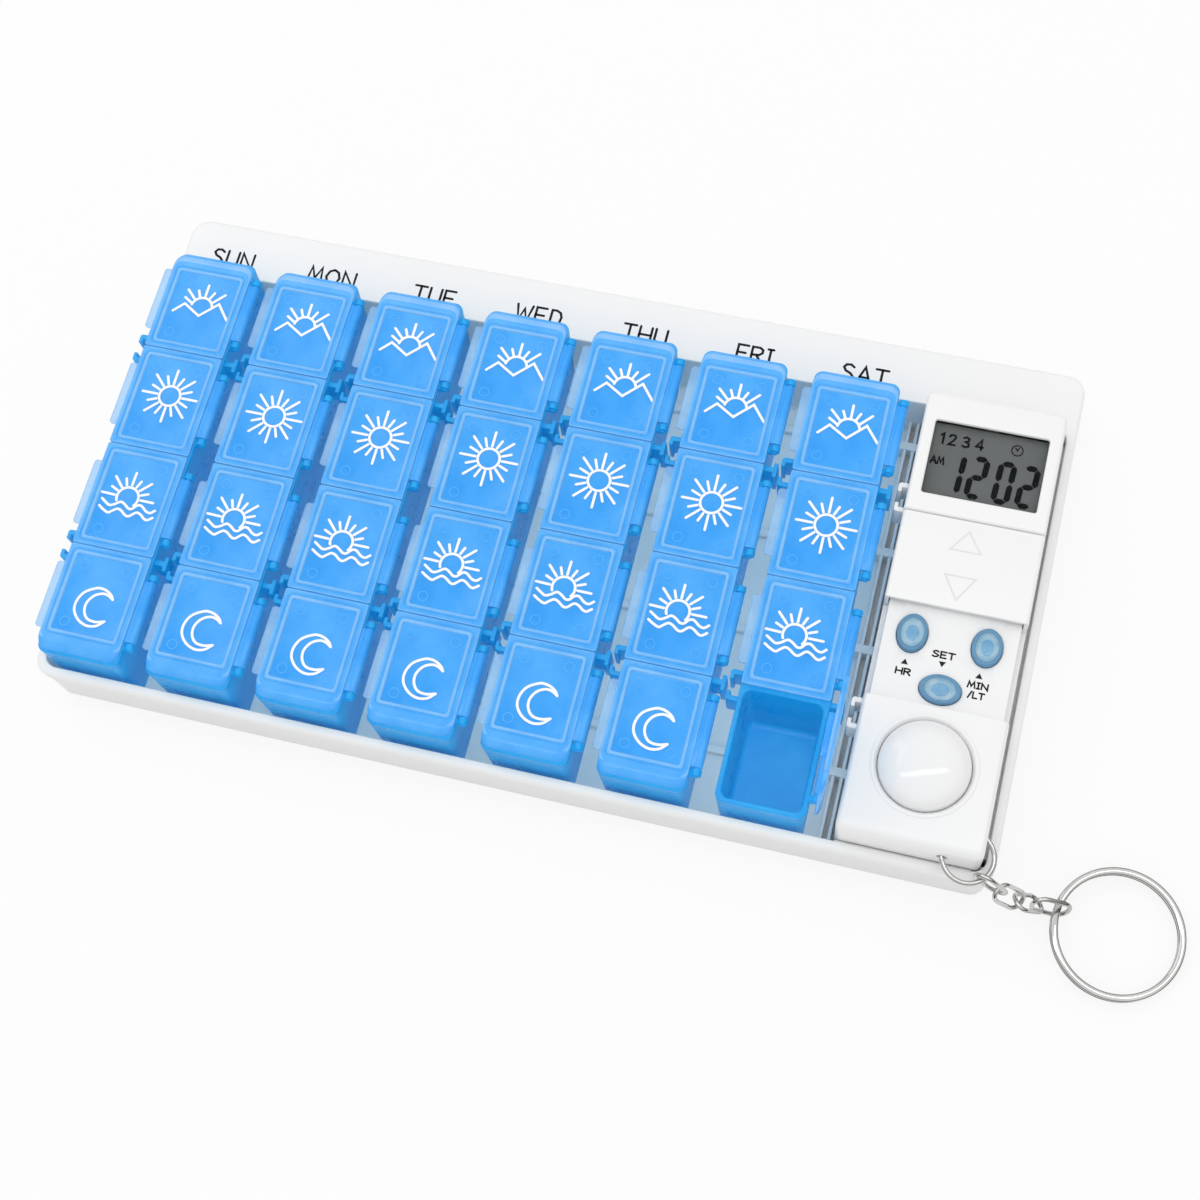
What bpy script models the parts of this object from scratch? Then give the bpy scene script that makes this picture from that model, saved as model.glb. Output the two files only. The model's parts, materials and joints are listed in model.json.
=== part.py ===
"""Weekly pill organizer: a tray, seven lidded strips and a clip-in alarm clock on a key chain.

Units are metres. +X runs along the week, +Y to the label ledge, +Z up.
The origin is the middle of the tray's flat base, on the table.
"""

import math

import bmesh
import bpy
from mathutils import Matrix, Vector

# Clearances and cutting allowances
SEAT_GAP = 0.0003
OVERRUN = 0.001
BITE = 0.0004
MERGE_DISTANCE = 0.00001
HALF_TURN = math.pi
FULL_TURN = 2 * math.pi

# Tray
TRAY_LENGTH = 0.2286
TRAY_DEPTH = 0.1266
TRAY_HEIGHT = 0.017
TRAY_FLOOR = 0.002
TRAY_RIM_WIDTH = 0.0023
TRAY_RIM_ROUND = 0.0007
TRAY_DRAFT = 0.0004
TRAY_CORNER_RADIUS = 0.006
TRAY_POCKET_RADIUS = 0.003
LEDGE_DEPTH = 0.0146
LEDGE_PLATE = 0.002
LEDGE_WALL = 0.002
LEDGE_BAYS = 11
LEDGE_WEB = 0.0015
LEDGE_WEB_HEIGHT = 0.003
FLOOR_RIB_WIDTH = 0.002
FLOOR_RIB_HEIGHT = 0.0015
FLOOR_RIB_SHARES = (0.17, 0.45, 0.68, 0.94)
GUIDE_RAIL_WIDTH = 0.0008
GUIDE_RAIL_HEIGHT = 0.004
GUIDE_RAIL_FROM_CLOCK = 0.0033
GUIDE_RAIL_SHARES = (1.0, 0.4)

# Strips of four compartments, one for each day
DAYS = ("sunday", "monday", "tuesday", "wednesday", "thursday", "friday", "saturday")
DOSES = ("morning", "noon", "evening", "night")
OPEN_DAY = "saturday"
OPEN_DOSE = "night"
STRIP_SIDE_GAP = 0.0012
STRIP_SPACE = 0.0064
STRIP_TO_CLOCK = 0.0065
STRIP_BACK_GAP = 0.0008
STRIP_HEIGHT = 0.0224
STRIP_DRAFT = 0.0007
STRIP_CORNER_RADIUS = 0.002
STRIP_CORNER_SEGMENTS = 2
STRIP_FRONT_GAP = 0.0006
STRIP_WALL = 0.0012
STRIP_DIVIDER = 0.0014
STRIP_FLOOR = 0.0014
CELL_DRAFT = 0.0005
CELL_CORNER_RADIUS = 0.001

# Hinges between a strip and its lids
HINGE_OUT = 0.0015
HINGE_RISE = 0.0002
BARREL_RADIUS = 0.00112
BARREL_LENGTH = 0.0155
PIN_RADIUS = 0.0005
PIN_REACH = 0.0015
HINGE_WEB_SHARE = 0.82
EAR_RADIUS = 0.00118
EAR_HOLE_RADIUS = 0.0008
EAR_THICKNESS = 0.0015
EAR_BRACKET_DROP = 0.0018
LID_OPEN_ANGLE = math.radians(92)

# Lids
LID_SEAM_GAP = 0.000225
LID_THICKNESS = 0.0013
LID_LIFT = 0.00015
LID_SIDE_GAP = 0.0001
LID_CORNER_RADIUS = 0.0025
LID_END_ROUND = 0.001
WINDOW_DEPTH = 0.0004
WINDOW_SIDE_BORDER = 0.0023
WINDOW_SEAM_BORDER = 0.0022
WINDOW_END_BORDER = 0.005
THUMB_TAB_LENGTH = 0.017
THUMB_TAB_REACH = 0.002
THUMB_TAB_THICKNESS = 0.0008
LATCH_LENGTH = 0.010
LATCH_THICKNESS = 0.0008
LATCH_DROP = 0.0014

# Clips that join one strip to the next outside the tray
CLIP_TOP_DROP = 0.0008
CLIP_HEIGHT = 0.0072
PRONG_REACH = 0.0028
PRONG_HALF_SPREAD = 0.0037
PRONG_THICKNESS = 0.0012
PRONG_LIP = 0.0011
PRONG_LIP_DEPTH = 0.0009
POST_REACH = 0.003
POST_THICKNESS = 0.0013
POST_HEAD_DEPTH = 0.001
POST_HEAD_WIDTH = 0.0036

# Alarm clock: outside
CLOCK_WIDTH = 0.0327
CLOCK_TOP = 0.0264
CLOCK_SIDE_GAP = 0.0010
CLOCK_FRONT_GAP = 0.0004
CLOCK_BACK_GAP = 0.0009
CLOCK_CORNER_RADIUS = 0.0018
CLOCK_TOP_ROUND = 0.0009
CLOCK_WALL = 0.0016
TRACK_WALL = 0.0009
UNIT = 1.0
LOWER_CASE_HEIGHT = 0.0062
CLOCK_PRONG_REACH = 0.0023
CLOCK_PRONG_TOP = 0.024
DISPLAY_PANEL_LENGTH = 0.0308
DOME_PANEL_SHARE = 0.972
COVER_LENGTH_SHARE = 0.49
BUTTON_PANEL_DROP = 0.0024

# Alarm clock: display
WINDOW_SIDE_BORDER_WIDTH = 0.00305
WINDOW_LENGTH = 0.0189
WINDOW_FROM_BACK = 0.0070
WINDOW_SKIN = 0.0008
LENS_MARGIN = 0.0004
LENS_THICKNESS = 0.0008
DISPLAY_GLASS_THICKNESS = 0.0018
DISPLAY_GLASS_MARGIN = 0.0002
HOLDER_WALL = 0.0016

# Alarm clock: sliding cover
COVER_THICKNESS = 0.001
COVER_SKIRT_DEPTH = 0.0056
COVER_SKIRT_THICKNESS = 0.001
COVER_LIP = 0.0007
COVER_LIP_THICKNESS = 0.0008
COVER_END_GAP = 0.0003

# Alarm clock: push buttons, as places from the button panel's middle
BUTTON_NAMES = ("hour_button", "minute_button", "set_button")
BUTTON_X_SHARES = (-0.262, 0.256, 0.0)
BUTTON_Y_SHARES = (0.221, 0.221, -0.29)
SIDE_BUTTON_SHARES = (0.211, 0.392)
SET_BUTTON_SHARES = (0.289, 0.297)
BUTTON_PROUD = 0.001
BUTTON_DISH = 0.0004
BUTTON_EDGE_ROUND = 0.0005
BUTTON_DISH_SHARE = 0.55
BUTTON_CROWN_SHARE = 0.82
BUTTON_HOLE_GAP = 0.0003
BUTTON_TAB_REACH = 0.0011
BUTTON_TAB_WIDTH = 0.005
BUTTON_TAB_THICKNESS = 0.001
BUTTON_TRAVEL = 0.0008
SWITCH_SIZE = 0.0036

# Alarm clock: dome button
DOME_RADIUS_SHARE = 0.312
DOME_RISE = 0.0042
DOME_SHELL = 0.0013
DOME_FLANGE = 0.0007
DOME_FLANGE_THICKNESS = 0.0013
DOME_TRAVEL = 0.001
DOME_STEM_RADIUS = 0.0015
DOME_STEM_LENGTH = 0.0075
DOME_FROM_FRONT_SHARE = 0.5695
DOME_RING_GAP = 0.0014
DOME_RING_TUBE = 0.0005
DOME_ARC_STEPS = 4

# Alarm clock: inside
BOARD_THICKNESS = 0.0012
BOARD_BASE = 0.0145
BOARD_SIDE_GAP = 0.0013
BOARD_END_MARGIN = 0.0022
SCREW_BACK_INSET = 0.0037
SCREW_FRONT_INSET = 0.0046
SCREW_SIDE_INSET = 0.0054
SCREW_RADIUS = 0.00085
SCREW_HEAD_RADIUS = 0.0017
SCREW_HEAD_HEIGHT = 0.0014
SCREW_HOLE_GAP = 0.00025
BOSS_WALL = 0.0008
BUZZER_RADIUS = 0.0065
BUZZER_HEIGHT = 0.0032
LED_RADIUS = 0.0015
LED_BASE_RADIUS = 0.0019
LED_HEIGHT = 0.0062
LED_BASE_HEIGHT = 0.001
LED_SHIFT = 0.0055
LED_TIP_SHARE = 0.7
CELL_BATTERY_RADIUS = 0.010
CELL_BATTERY_HEIGHT = 0.0032
BATTERY_SHIFT = 0.004
BATTERY_BLOCK_HEIGHT = 0.0060
BATTERY_BLOCK_WALL = 0.0016
DOOR_WIDTH = 0.0236
DOOR_LENGTH = 0.0256
DOOR_THICKNESS = 0.0012
DOOR_TRAVEL = 0.006
CONTACT_WIDTH = 0.0036
CONTACT_THICKNESS = 0.0004

# Key chain
LOOP_RADIUS = 0.00575
LOOP_WIRE = 0.0006
LOOP_SIDE_INSET = 0.0033
LOOP_FRONT_INSET = 0.0014
LOOP_HEIGHT = 0.0212
LOOP_TILT = math.radians(8)
LOOP_EXIT_HEADING = math.radians(-42)
TUNNEL_RADIUS = 0.0012
TUNNEL_BLOCK_WALL = 0.0012
LINK_WIRE = 0.00055
LINK_HALF_WIDTH = 0.0022
LINK_WIDTH_SHARES = (1.0, 1.0, 1.0, 1.14)
LINK_GAP = 0.0006
LINK_PITCH = 0.0070
LINK_PITCH_SHARES = (0.97, 1.0, 0.96, 1.06)
LINK_HEADINGS = tuple(math.radians(angle) for angle in (-12, 2, 20, 6))
LINK_DIPS = tuple(math.radians(angle) for angle in (47, 47, 45, 28))
LINK_ROLLS = tuple(math.radians(angle) for angle in (90, 35, -20, -110))
KEY_RING_RADIUS = 0.0142
KEY_RING_HEADING = math.radians(-10)
KEY_RING_BAND = 0.0017
KEY_RING_LAYER = 0.0009
KEY_RING_LAYER_GAP = 0.0004
KEY_RING_TURNS = 1.9
KEY_RING_FROM_LINK_END = 0.0028

# Facets of round shapes
BARREL_SEGMENTS = 8
PIN_SEGMENTS = 6
EAR_SEGMENTS = 8
HOLE_SEGMENTS = 28
BUTTON_SEGMENTS = 24
DOME_SEGMENTS = 24
SMALL_ROUND_SEGMENTS = 12
CORNER_SEGMENTS = 3
LOOP_POINTS = 24
LINK_ARC_POINTS = 6
RING_POINTS_PER_TURN = 30
TUNNEL_SEGMENTS = 24
TUNNEL_TUBE_SEGMENTS = 8
BAND_POINTS = 6

# Heights and places that follow from the sizes above
RIB_TOP = TRAY_FLOOR + FLOOR_RIB_HEIGHT
SEAT_HEIGHT = RIB_TOP + SEAT_GAP
POCKET_RIGHT = TRAY_LENGTH / 2 - TRAY_RIM_WIDTH
POCKET_FRONT = -TRAY_DEPTH / 2 + TRAY_RIM_WIDTH
POCKET_BACK = TRAY_DEPTH / 2 - LEDGE_DEPTH
POCKET_DEPTH = POCKET_BACK - POCKET_FRONT
CLOCK_RIGHT = POCKET_RIGHT - CLOCK_SIDE_GAP
CLOCK_LEFT = CLOCK_RIGHT - CLOCK_WIDTH
CLOCK_X = (CLOCK_LEFT + CLOCK_RIGHT) / 2
STRIP_ROOM = CLOCK_LEFT + POCKET_RIGHT - STRIP_SIDE_GAP - STRIP_TO_CLOCK + STRIP_SPACE
STRIP_PITCH = STRIP_ROOM / len(DAYS)
STRIP_WIDTH = STRIP_PITCH - STRIP_SPACE
FIRST_STRIP_X = -POCKET_RIGHT + STRIP_SIDE_GAP + STRIP_WIDTH / 2
STRIP_LENGTH = POCKET_DEPTH - STRIP_FRONT_GAP - STRIP_BACK_GAP
STRIP_MIDDLE_Y = POCKET_FRONT + STRIP_FRONT_GAP + STRIP_LENGTH / 2
CELL_LENGTH = (STRIP_LENGTH - 2 * STRIP_WALL - (len(DOSES) - 1) * STRIP_DIVIDER) / len(DOSES)
CELL_PITCH = CELL_LENGTH + STRIP_DIVIDER
LID_LENGTH = CELL_PITCH - LID_SEAM_GAP
CELL_WIDTH = STRIP_WIDTH - 2 * STRIP_WALL
AXIS_X = STRIP_WIDTH / 2 + HINGE_OUT
AXIS_Z = STRIP_HEIGHT + HINGE_RISE
CLOCK_LENGTH = POCKET_DEPTH - CLOCK_FRONT_GAP - CLOCK_BACK_GAP
CLOCK_FRONT = POCKET_FRONT + CLOCK_FRONT_GAP
CLOCK_BACK = CLOCK_FRONT + CLOCK_LENGTH
CLOCK_SEAM = SEAT_HEIGHT + LOWER_CASE_HEIGHT
DOME_PANEL_LENGTH = DOME_PANEL_SHARE * CLOCK_WIDTH
TRACK_BACK = CLOCK_BACK - DISPLAY_PANEL_LENGTH
TRACK_FRONT = CLOCK_FRONT + DOME_PANEL_LENGTH
COVER_LENGTH = COVER_LENGTH_SHARE * (TRACK_BACK - TRACK_FRONT)
BUTTON_PANEL_LENGTH = TRACK_BACK - TRACK_FRONT - COVER_LENGTH
PANEL_TOP = CLOCK_TOP - BUTTON_PANEL_DROP
PANEL_BOTTOM = PANEL_TOP - CLOCK_WALL
PANEL_MIDDLE_Y = TRACK_FRONT + BUTTON_PANEL_LENGTH / 2
CEILING = CLOCK_TOP - CLOCK_WALL
BOARD_TOP = BOARD_BASE + BOARD_THICKNESS
WINDOW_WIDTH = CLOCK_WIDTH - 2 * WINDOW_SIDE_BORDER_WIDTH
DISPLAY_X = CLOCK_X
DISPLAY_Y = CLOCK_BACK - WINDOW_FROM_BACK - WINDOW_LENGTH / 2
LENS_TOP = CLOCK_TOP - WINDOW_SKIN - SEAT_GAP
GLASS_TOP = LENS_TOP - LENS_THICKNESS - SEAT_GAP
GLASS_BOTTOM = GLASS_TOP - DISPLAY_GLASS_THICKNESS
DOME_RADIUS = DOME_RADIUS_SHARE * CLOCK_WIDTH
DOME_RING_RADIUS = DOME_RADIUS + DOME_RING_GAP
DOME_Y = CLOCK_FRONT + DOME_FROM_FRONT_SHARE * DOME_PANEL_LENGTH
SKIRT_INNER = CLOCK_WIDTH / 2 - COVER_SKIRT_THICKNESS
NECK_HALF_WIDTH = SKIRT_INNER - SEAT_GAP
GROOVE_HALF_WIDTH = NECK_HALF_WIDTH - COVER_LIP
COVER_FOOT = CLOCK_TOP - COVER_SKIRT_DEPTH
CAVITY_HALF_WIDTH = CLOCK_WIDTH / 2 - CLOCK_WALL
BOARD_HALF_WIDTH = CAVITY_HALF_WIDTH - BOARD_SIDE_GAP
TRACK_CAVITY_HALF_WIDTH = GROOVE_HALF_WIDTH - TRACK_WALL
SCREW_PLACES = {
    "case_screw_back": (CLOCK_X, CLOCK_BACK - SCREW_BACK_INSET),
    "case_screw_front": (CLOCK_LEFT + SCREW_SIDE_INSET, CLOCK_FRONT + SCREW_FRONT_INSET),
}
BATTERY_Y = TRACK_BACK - COVER_LENGTH / 2 - BATTERY_SHIFT
DOOR_TOP = SEAT_HEIGHT + DOOR_THICKNESS
DOOR_RECESS_TOP = DOOR_TOP + SEAT_GAP
BATTERY_TOP = DOOR_RECESS_TOP + CELL_BATTERY_HEIGHT
BATTERY_CAVITY_TOP = BATTERY_TOP + SEAT_GAP
LOOP_CENTRE = Vector((CLOCK_RIGHT - LOOP_SIDE_INSET, CLOCK_FRONT + LOOP_FRONT_INSET, LOOP_HEIGHT))
TUNNEL_BLOCK_RADIUS = LOOP_RADIUS + TUNNEL_RADIUS + TUNNEL_BLOCK_WALL
TUNNEL_BLOCK_HALF_HEIGHT = TUNNEL_RADIUS + TUNNEL_BLOCK_WALL

# Finishes: colour, roughness, metallic and how much light passes through
FINISHES = {
    "white_plastic": ((0.90, 0.90, 0.89), 0.32, 0.0, 0.0),
    "blue_plastic": ((0.12, 0.42, 0.95), 0.22, 0.0, 0.75),
    "button_blue": ((0.30, 0.52, 0.72), 0.25, 0.0, 0.35),
    "dome_white": ((0.93, 0.93, 0.92), 0.22, 0.0, 0.0),
    "clear_plastic": ((0.80, 0.82, 0.82), 0.05, 0.0, 0.9),
    "display_grey": ((0.14, 0.15, 0.15), 0.35, 0.0, 0.0),
    "board_green": ((0.03, 0.22, 0.09), 0.45, 0.0, 0.0),
    "bright_steel": ((0.62, 0.61, 0.60), 0.20, 1.0, 0.0),
    "brass": ((0.72, 0.54, 0.24), 0.30, 1.0, 0.0),
    "lamp_red": ((0.75, 0.06, 0.04), 0.15, 0.0, 0.5),
}


def clear_scene():
    """Removes whatever the new file starts with."""
    for item in list(bpy.data.objects):
        bpy.data.objects.remove(item)


def new_collection(name):
    """Makes a collection in the scene."""
    collection = bpy.data.collections.new(name)
    bpy.context.scene.collection.children.link(collection)
    return collection


def make_material(name):
    """Makes one Principled material from the table of finishes."""
    colour, roughness, metallic, transmission = FINISHES[name]
    material = bpy.data.materials.new(name)
    material.use_nodes = True
    shader = material.node_tree.nodes["Principled BSDF"]
    shader.inputs["Base Color"].default_value = (*colour, 1.0)
    shader.inputs["Roughness"].default_value = roughness
    shader.inputs["Metallic"].default_value = metallic
    shader.inputs["Transmission Weight"].default_value = transmission
    material.diffuse_color = (*colour, 1.0)
    return material


clear_scene()
PARTS = new_collection("weekly_pill_organizer")
CUTTERS = new_collection("cutters")
MATERIALS = {finish: make_material(finish) for finish in FINISHES}


def link_object(name, data, collection):
    """Puts a mesh or a curve into a collection as an object."""
    item = bpy.data.objects.new(name, data)
    collection.objects.link(item)
    return item


def object_from(name, bm, collection=PARTS, finish=None):
    """Turns a bmesh into an object, with a material if it is a part."""
    mesh = bpy.data.meshes.new(name)
    bm.to_mesh(mesh)
    bm.free()
    item = link_object(name, mesh, collection)
    if finish:
        mesh.materials.append(MATERIALS[finish])
    return item


def as_tool(item):
    """Hides an object that only cuts or joins others."""
    for collection in list(item.users_collection):
        collection.objects.unlink(item)
    CUTTERS.objects.link(item)
    item.hide_render = True
    item.display_type = "WIRE"
    return item


def boolean(target, tool, operation):
    """Adds one exact Boolean modifier."""
    modifier = target.modifiers.new(operation.lower(), "BOOLEAN")
    modifier.operation = operation
    modifier.solver = "EXACT"
    modifier.object = as_tool(tool)


def evaluated_mesh(item, name):
    """Copies the mesh that an object's modifiers make."""
    graph = bpy.context.evaluated_depsgraph_get()
    mesh = bpy.data.meshes.new_from_object(item.evaluated_get(graph))
    mesh.name = name
    return mesh


def smooth_round_faces(mesh, angle=math.radians(40)):
    """Shades a mesh smooth, but keeps its sharp edges."""
    mesh.shade_smooth()
    mesh.set_sharp_from_angle(angle=angle)


def upright(edge):
    """Says whether an edge climbs more than it runs."""
    rise = edge.verts[1].co - edge.verts[0].co
    return abs(rise.z) > max(abs(rise.x), abs(rise.y))


def add_box(bm, low, high, draft=0.0, corner=0.0, segments=CORNER_SEGMENTS):
    """Adds a box; draft draws its foot in, corner rounds its upright edges."""
    low, high = Vector(low), Vector(high)
    size, middle = high - low, (high + low) / 2
    matrix = Matrix.Translation(middle) @ Matrix.Diagonal((*size, 1.0))
    verts = bmesh.ops.create_cube(bm, size=1.0, matrix=matrix)["verts"]
    for vert in verts:
        if vert.co.z < middle.z:
            vert.co.x -= math.copysign(draft, vert.co.x - middle.x)
            vert.co.y -= math.copysign(draft, vert.co.y - middle.y)
    if corner:
        edges = {edge for vert in verts for edge in vert.link_edges if upright(edge)}
        bmesh.ops.bevel(bm, geom=list(edges), offset=corner, segments=segments, profile=0.5, affect="EDGES")


def round_level_edges(bm, height, radius, segments, keep=None):
    """Rounds the edges that lie at one height, or those of them that keep picks."""
    def at_height(vert):
        return abs(vert.co.z - height) < MERGE_DISTANCE

    edges = [edge for edge in bm.edges if all(at_height(vert) for vert in edge.verts)]
    if keep:
        edges = [edge for edge in edges if keep(edge)]
    bmesh.ops.bevel(bm, geom=edges, offset=radius, segments=segments, profile=0.5, affect="EDGES")


def add_round(bm, centre, radius, length, segments, axis="Z"):
    """Adds a cylinder along one axis, from centre outwards both ways."""
    turns = {"X": Matrix.Rotation(HALF_TURN / 2, 4, "Y"), "Y": Matrix.Rotation(HALF_TURN / 2, 4, "X")}
    matrix = Matrix.Translation(centre) @ turns.get(axis, Matrix.Identity(4))
    bmesh.ops.create_cone(
        bm, cap_ends=True, segments=segments, radius1=radius, radius2=radius, depth=length, matrix=matrix
    )


def add_post(bm, place, low, high, radius, segments=SMALL_ROUND_SEGMENTS):
    """Adds an upright cylinder between two heights."""
    add_round(bm, (place[0], place[1], (low + high) / 2), radius, high - low, segments)


def box_tool(name, *boxes, **options):
    """Makes one hidden tool from boxes that don't touch each other."""
    bm = bmesh.new()
    for low, high in boxes:
        add_box(bm, low, high, **options)
    return object_from(name, bm, CUTTERS)


def post_tool(name, place, low, high, radius, segments=SMALL_ROUND_SEGMENTS):
    """Makes one hidden upright cylinder."""
    bm = bmesh.new()
    add_post(bm, place, low, high, radius, segments)
    return object_from(name, bm, CUTTERS)


def prism(name, outline, low, high):
    """Extrudes a flat outline of X and Y points from one height to another."""
    curve = bpy.data.curves.new(name, "CURVE")
    curve.dimensions = "2D"
    curve.fill_mode = "BOTH"
    curve.extrude = (high - low) / 2
    spline = curve.splines.new("POLY")
    spline.points.add(len(outline) - 1)
    for point, (x, y) in zip(spline.points, outline):
        point.co = (x, y, 0.0, 1.0)
    spline.use_cyclic_u = True
    guide = link_object(name, curve, CUTTERS)
    guide.location.z = (low + high) / 2
    return welded_copy(guide, name)


def welded_copy(guide, name, collection=CUTTERS):
    """Turns a curve object into a closed mesh object and removes the curve."""
    bpy.context.view_layer.update()
    mesh = evaluated_mesh(guide, name)
    mesh.transform(guide.matrix_world)
    bpy.data.objects.remove(guide)
    bm = bmesh.new()
    bm.from_mesh(mesh)
    bmesh.ops.remove_doubles(bm, verts=bm.verts, dist=MERGE_DISTANCE)
    bmesh.ops.recalc_face_normals(bm, faces=bm.faces)
    bm.to_mesh(mesh)
    bm.free()
    return link_object(name, mesh, collection)


def turned(name, profile, segments, collection=PARTS, finish=None):
    """Turns a profile of radius and height points, top to bottom, about Z."""
    bm = bmesh.new()
    verts = [bm.verts.new((radius, 0.0, height)) for radius, height in profile]
    for first, second in zip(verts, verts[1:]):
        bm.edges.new((first, second))
    item = object_from(name, bm, collection, finish)
    screw = item.modifiers.new("turn", "SCREW")
    screw.steps = segments
    screw.render_steps = segments
    screw.use_merge_vertices = True
    screw.merge_threshold = MERGE_DISTANCE
    return item


def arc_points(radius_out, height_up, steps):
    """Gives the points of a quarter dome, from its top to its edge."""
    angles = [HALF_TURN / 2 * step / steps for step in range(steps + 1)]
    return [(radius_out * math.sin(angle), height_up * math.cos(angle)) for angle in angles]


# Tray: one moulding with a pocket, a ribbed floor and a hollow label ledge
def make_tray():
    bm = bmesh.new()
    half = Vector((TRAY_LENGTH / 2, TRAY_DEPTH / 2))
    add_box(
        bm, (-half.x, -half.y, 0.0), (half.x, half.y, TRAY_HEIGHT),
        draft=TRAY_DRAFT, corner=TRAY_CORNER_RADIUS, segments=CORNER_SEGMENTS + 1,
    )
    round_level_edges(bm, TRAY_HEIGHT, TRAY_RIM_ROUND, 2)
    tray = object_from("tray", bm, finish="white_plastic")
    pocket = box_tool(
        "tray_pocket",
        ((-POCKET_RIGHT, POCKET_FRONT, TRAY_FLOOR), (POCKET_RIGHT, POCKET_BACK, TRAY_HEIGHT + OVERRUN)),
        corner=TRAY_POCKET_RADIUS,
    )
    boolean(tray, pocket, "DIFFERENCE")
    boolean(tray, ledge_hollow(), "DIFFERENCE")
    boolean(tray, ledge_webs(), "UNION")
    boolean(tray, floor_ribs(), "UNION")
    boolean(tray, guide_rails(), "UNION")
    return tray


def ledge_hollow():
    """The hollow under the label ledge, open below."""
    low, high = ledge_room()
    return box_tool("ledge_hollow", ((*low, -OVERRUN), (*high, TRAY_HEIGHT - LEDGE_PLATE)))


def ledge_room():
    """The plan corners of the hollow under the label ledge."""
    return (-POCKET_RIGHT, POCKET_BACK + LEDGE_WALL), (POCKET_RIGHT, TRAY_DEPTH / 2 - TRAY_RIM_WIDTH)


def ledge_webs():
    """Shallow webs across the hollow, which stiffen the label ledge."""
    low, high = ledge_room()
    pitch = (high[0] - low[0]) / LEDGE_BAYS
    top = TRAY_HEIGHT - LEDGE_PLATE
    boxes = []
    for index in range(1, LEDGE_BAYS):
        middle = low[0] + index * pitch
        left, right = middle - LEDGE_WEB / 2, middle + LEDGE_WEB / 2
        boxes.append(((left, low[1] - BITE, top - LEDGE_WEB_HEIGHT), (right, high[1] + BITE, top + BITE)))
    return box_tool("ledge_webs", *boxes)


def floor_ribs():
    """Low bars across the floor, which the strips and the clock stand on."""
    boxes = []
    for share in FLOOR_RIB_SHARES:
        middle = POCKET_FRONT + share * POCKET_DEPTH
        low = (-POCKET_RIGHT - BITE, middle - FLOOR_RIB_WIDTH / 2, TRAY_FLOOR - BITE)
        high = (POCKET_RIGHT + BITE, middle + FLOOR_RIB_WIDTH / 2, RIB_TOP)
        boxes.append((low, high))
    return box_tool("floor_ribs", *boxes)


def guide_rails():
    """Two thin rails that guide the clock beside the last strip."""
    boxes = []
    for share in GUIDE_RAIL_SHARES:
        left = CLOCK_LEFT - share * GUIDE_RAIL_FROM_CLOCK - GUIDE_RAIL_WIDTH / 2
        low = (left, POCKET_FRONT - BITE, TRAY_FLOOR - BITE)
        high = (left + GUIDE_RAIL_WIDTH, POCKET_BACK + BITE, TRAY_FLOOR + GUIDE_RAIL_HEIGHT)
        boxes.append((low, high))
    return box_tool("guide_rails", *boxes)


# Clips: hooked prongs on a left side, a headed post on a right side
def prong_outline(wall_x, side, middle_y, reach):
    """One hooked prong as seen from above; side is 1 behind and -1 in front."""
    outer = middle_y + side * PRONG_HALF_SPREAD
    inner = middle_y + side * (PRONG_HALF_SPREAD - PRONG_THICKNESS)
    hook = middle_y + side * (PRONG_HALF_SPREAD - PRONG_THICKNESS - PRONG_LIP)
    tip = wall_x - reach
    rounding = side * PRONG_THICKNESS / 2
    points = [
        (wall_x + BITE, outer), (tip + PRONG_THICKNESS / 2, outer), (tip, outer - rounding), (tip, hook),
        (tip + PRONG_LIP_DEPTH, hook), (tip + PRONG_LIP_DEPTH, inner), (wall_x + BITE, inner),
    ]
    return points if side < 0 else points[::-1]


def post_outline(wall_x, middle_y):
    """The headed post as seen from above."""
    head = wall_x + POST_REACH
    neck = head - POST_HEAD_DEPTH
    half_neck, half_head = POST_THICKNESS / 2, POST_HEAD_WIDTH / 2
    return [
        (wall_x - BITE, middle_y - half_neck), (neck, middle_y - half_neck),
        (neck, middle_y - half_head), (head, middle_y - half_head),
        (head, middle_y + half_head), (neck, middle_y + half_head),
        (neck, middle_y + half_neck), (wall_x - BITE, middle_y + half_neck),
    ]


def clip_rows():
    """How far the clips lie from a strip's middle, at its outer two dividers."""
    return (-CELL_PITCH, CELL_PITCH)


# Strips: a box of four compartments with hinge ears on its right side
def strip_pattern():
    bm = bmesh.new()
    half_width, half_length = STRIP_WIDTH / 2, STRIP_LENGTH / 2
    add_box(
        bm, (-half_width, -half_length, 0.0), (half_width, half_length, STRIP_HEIGHT),
        draft=STRIP_DRAFT, corner=STRIP_CORNER_RADIUS, segments=STRIP_CORNER_SEGMENTS,
    )
    strip = object_from("strip_pattern", bm, CUTTERS, "blue_plastic")
    boolean(strip, ear_blocks(), "UNION")
    clip_top = STRIP_HEIGHT - CLIP_TOP_DROP
    clip_base = clip_top - CLIP_HEIGHT
    for middle in clip_rows():
        for side in (1, -1):
            outline = prong_outline(-half_width, side, middle, PRONG_REACH)
            boolean(strip, prism("prong", outline, clip_base, clip_top), "UNION")
        post = prism("post", post_outline(half_width, middle), clip_base, clip_top)
        boolean(strip, post, "UNION")
    boolean(strip, ear_holes(), "DIFFERENCE")
    cells = []
    for row in range(len(DOSES)):
        middle = lid_row_y(row)
        low = (-CELL_WIDTH / 2, middle - CELL_LENGTH / 2, STRIP_FLOOR)
        high = (CELL_WIDTH / 2, middle + CELL_LENGTH / 2, STRIP_HEIGHT + OVERRUN)
        cells.append((low, high))
    hollow = box_tool("strip_cells", *cells, draft=CELL_DRAFT, corner=CELL_CORNER_RADIUS, segments=1)
    boolean(strip, hollow, "DIFFERENCE")
    return evaluated_mesh(as_tool(strip), "strip")


def lid_row_y(row):
    """The middle of one compartment from the strip's middle; row 0 is at the back."""
    return ((len(DOSES) - 1) / 2 - row) * CELL_PITCH


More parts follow.
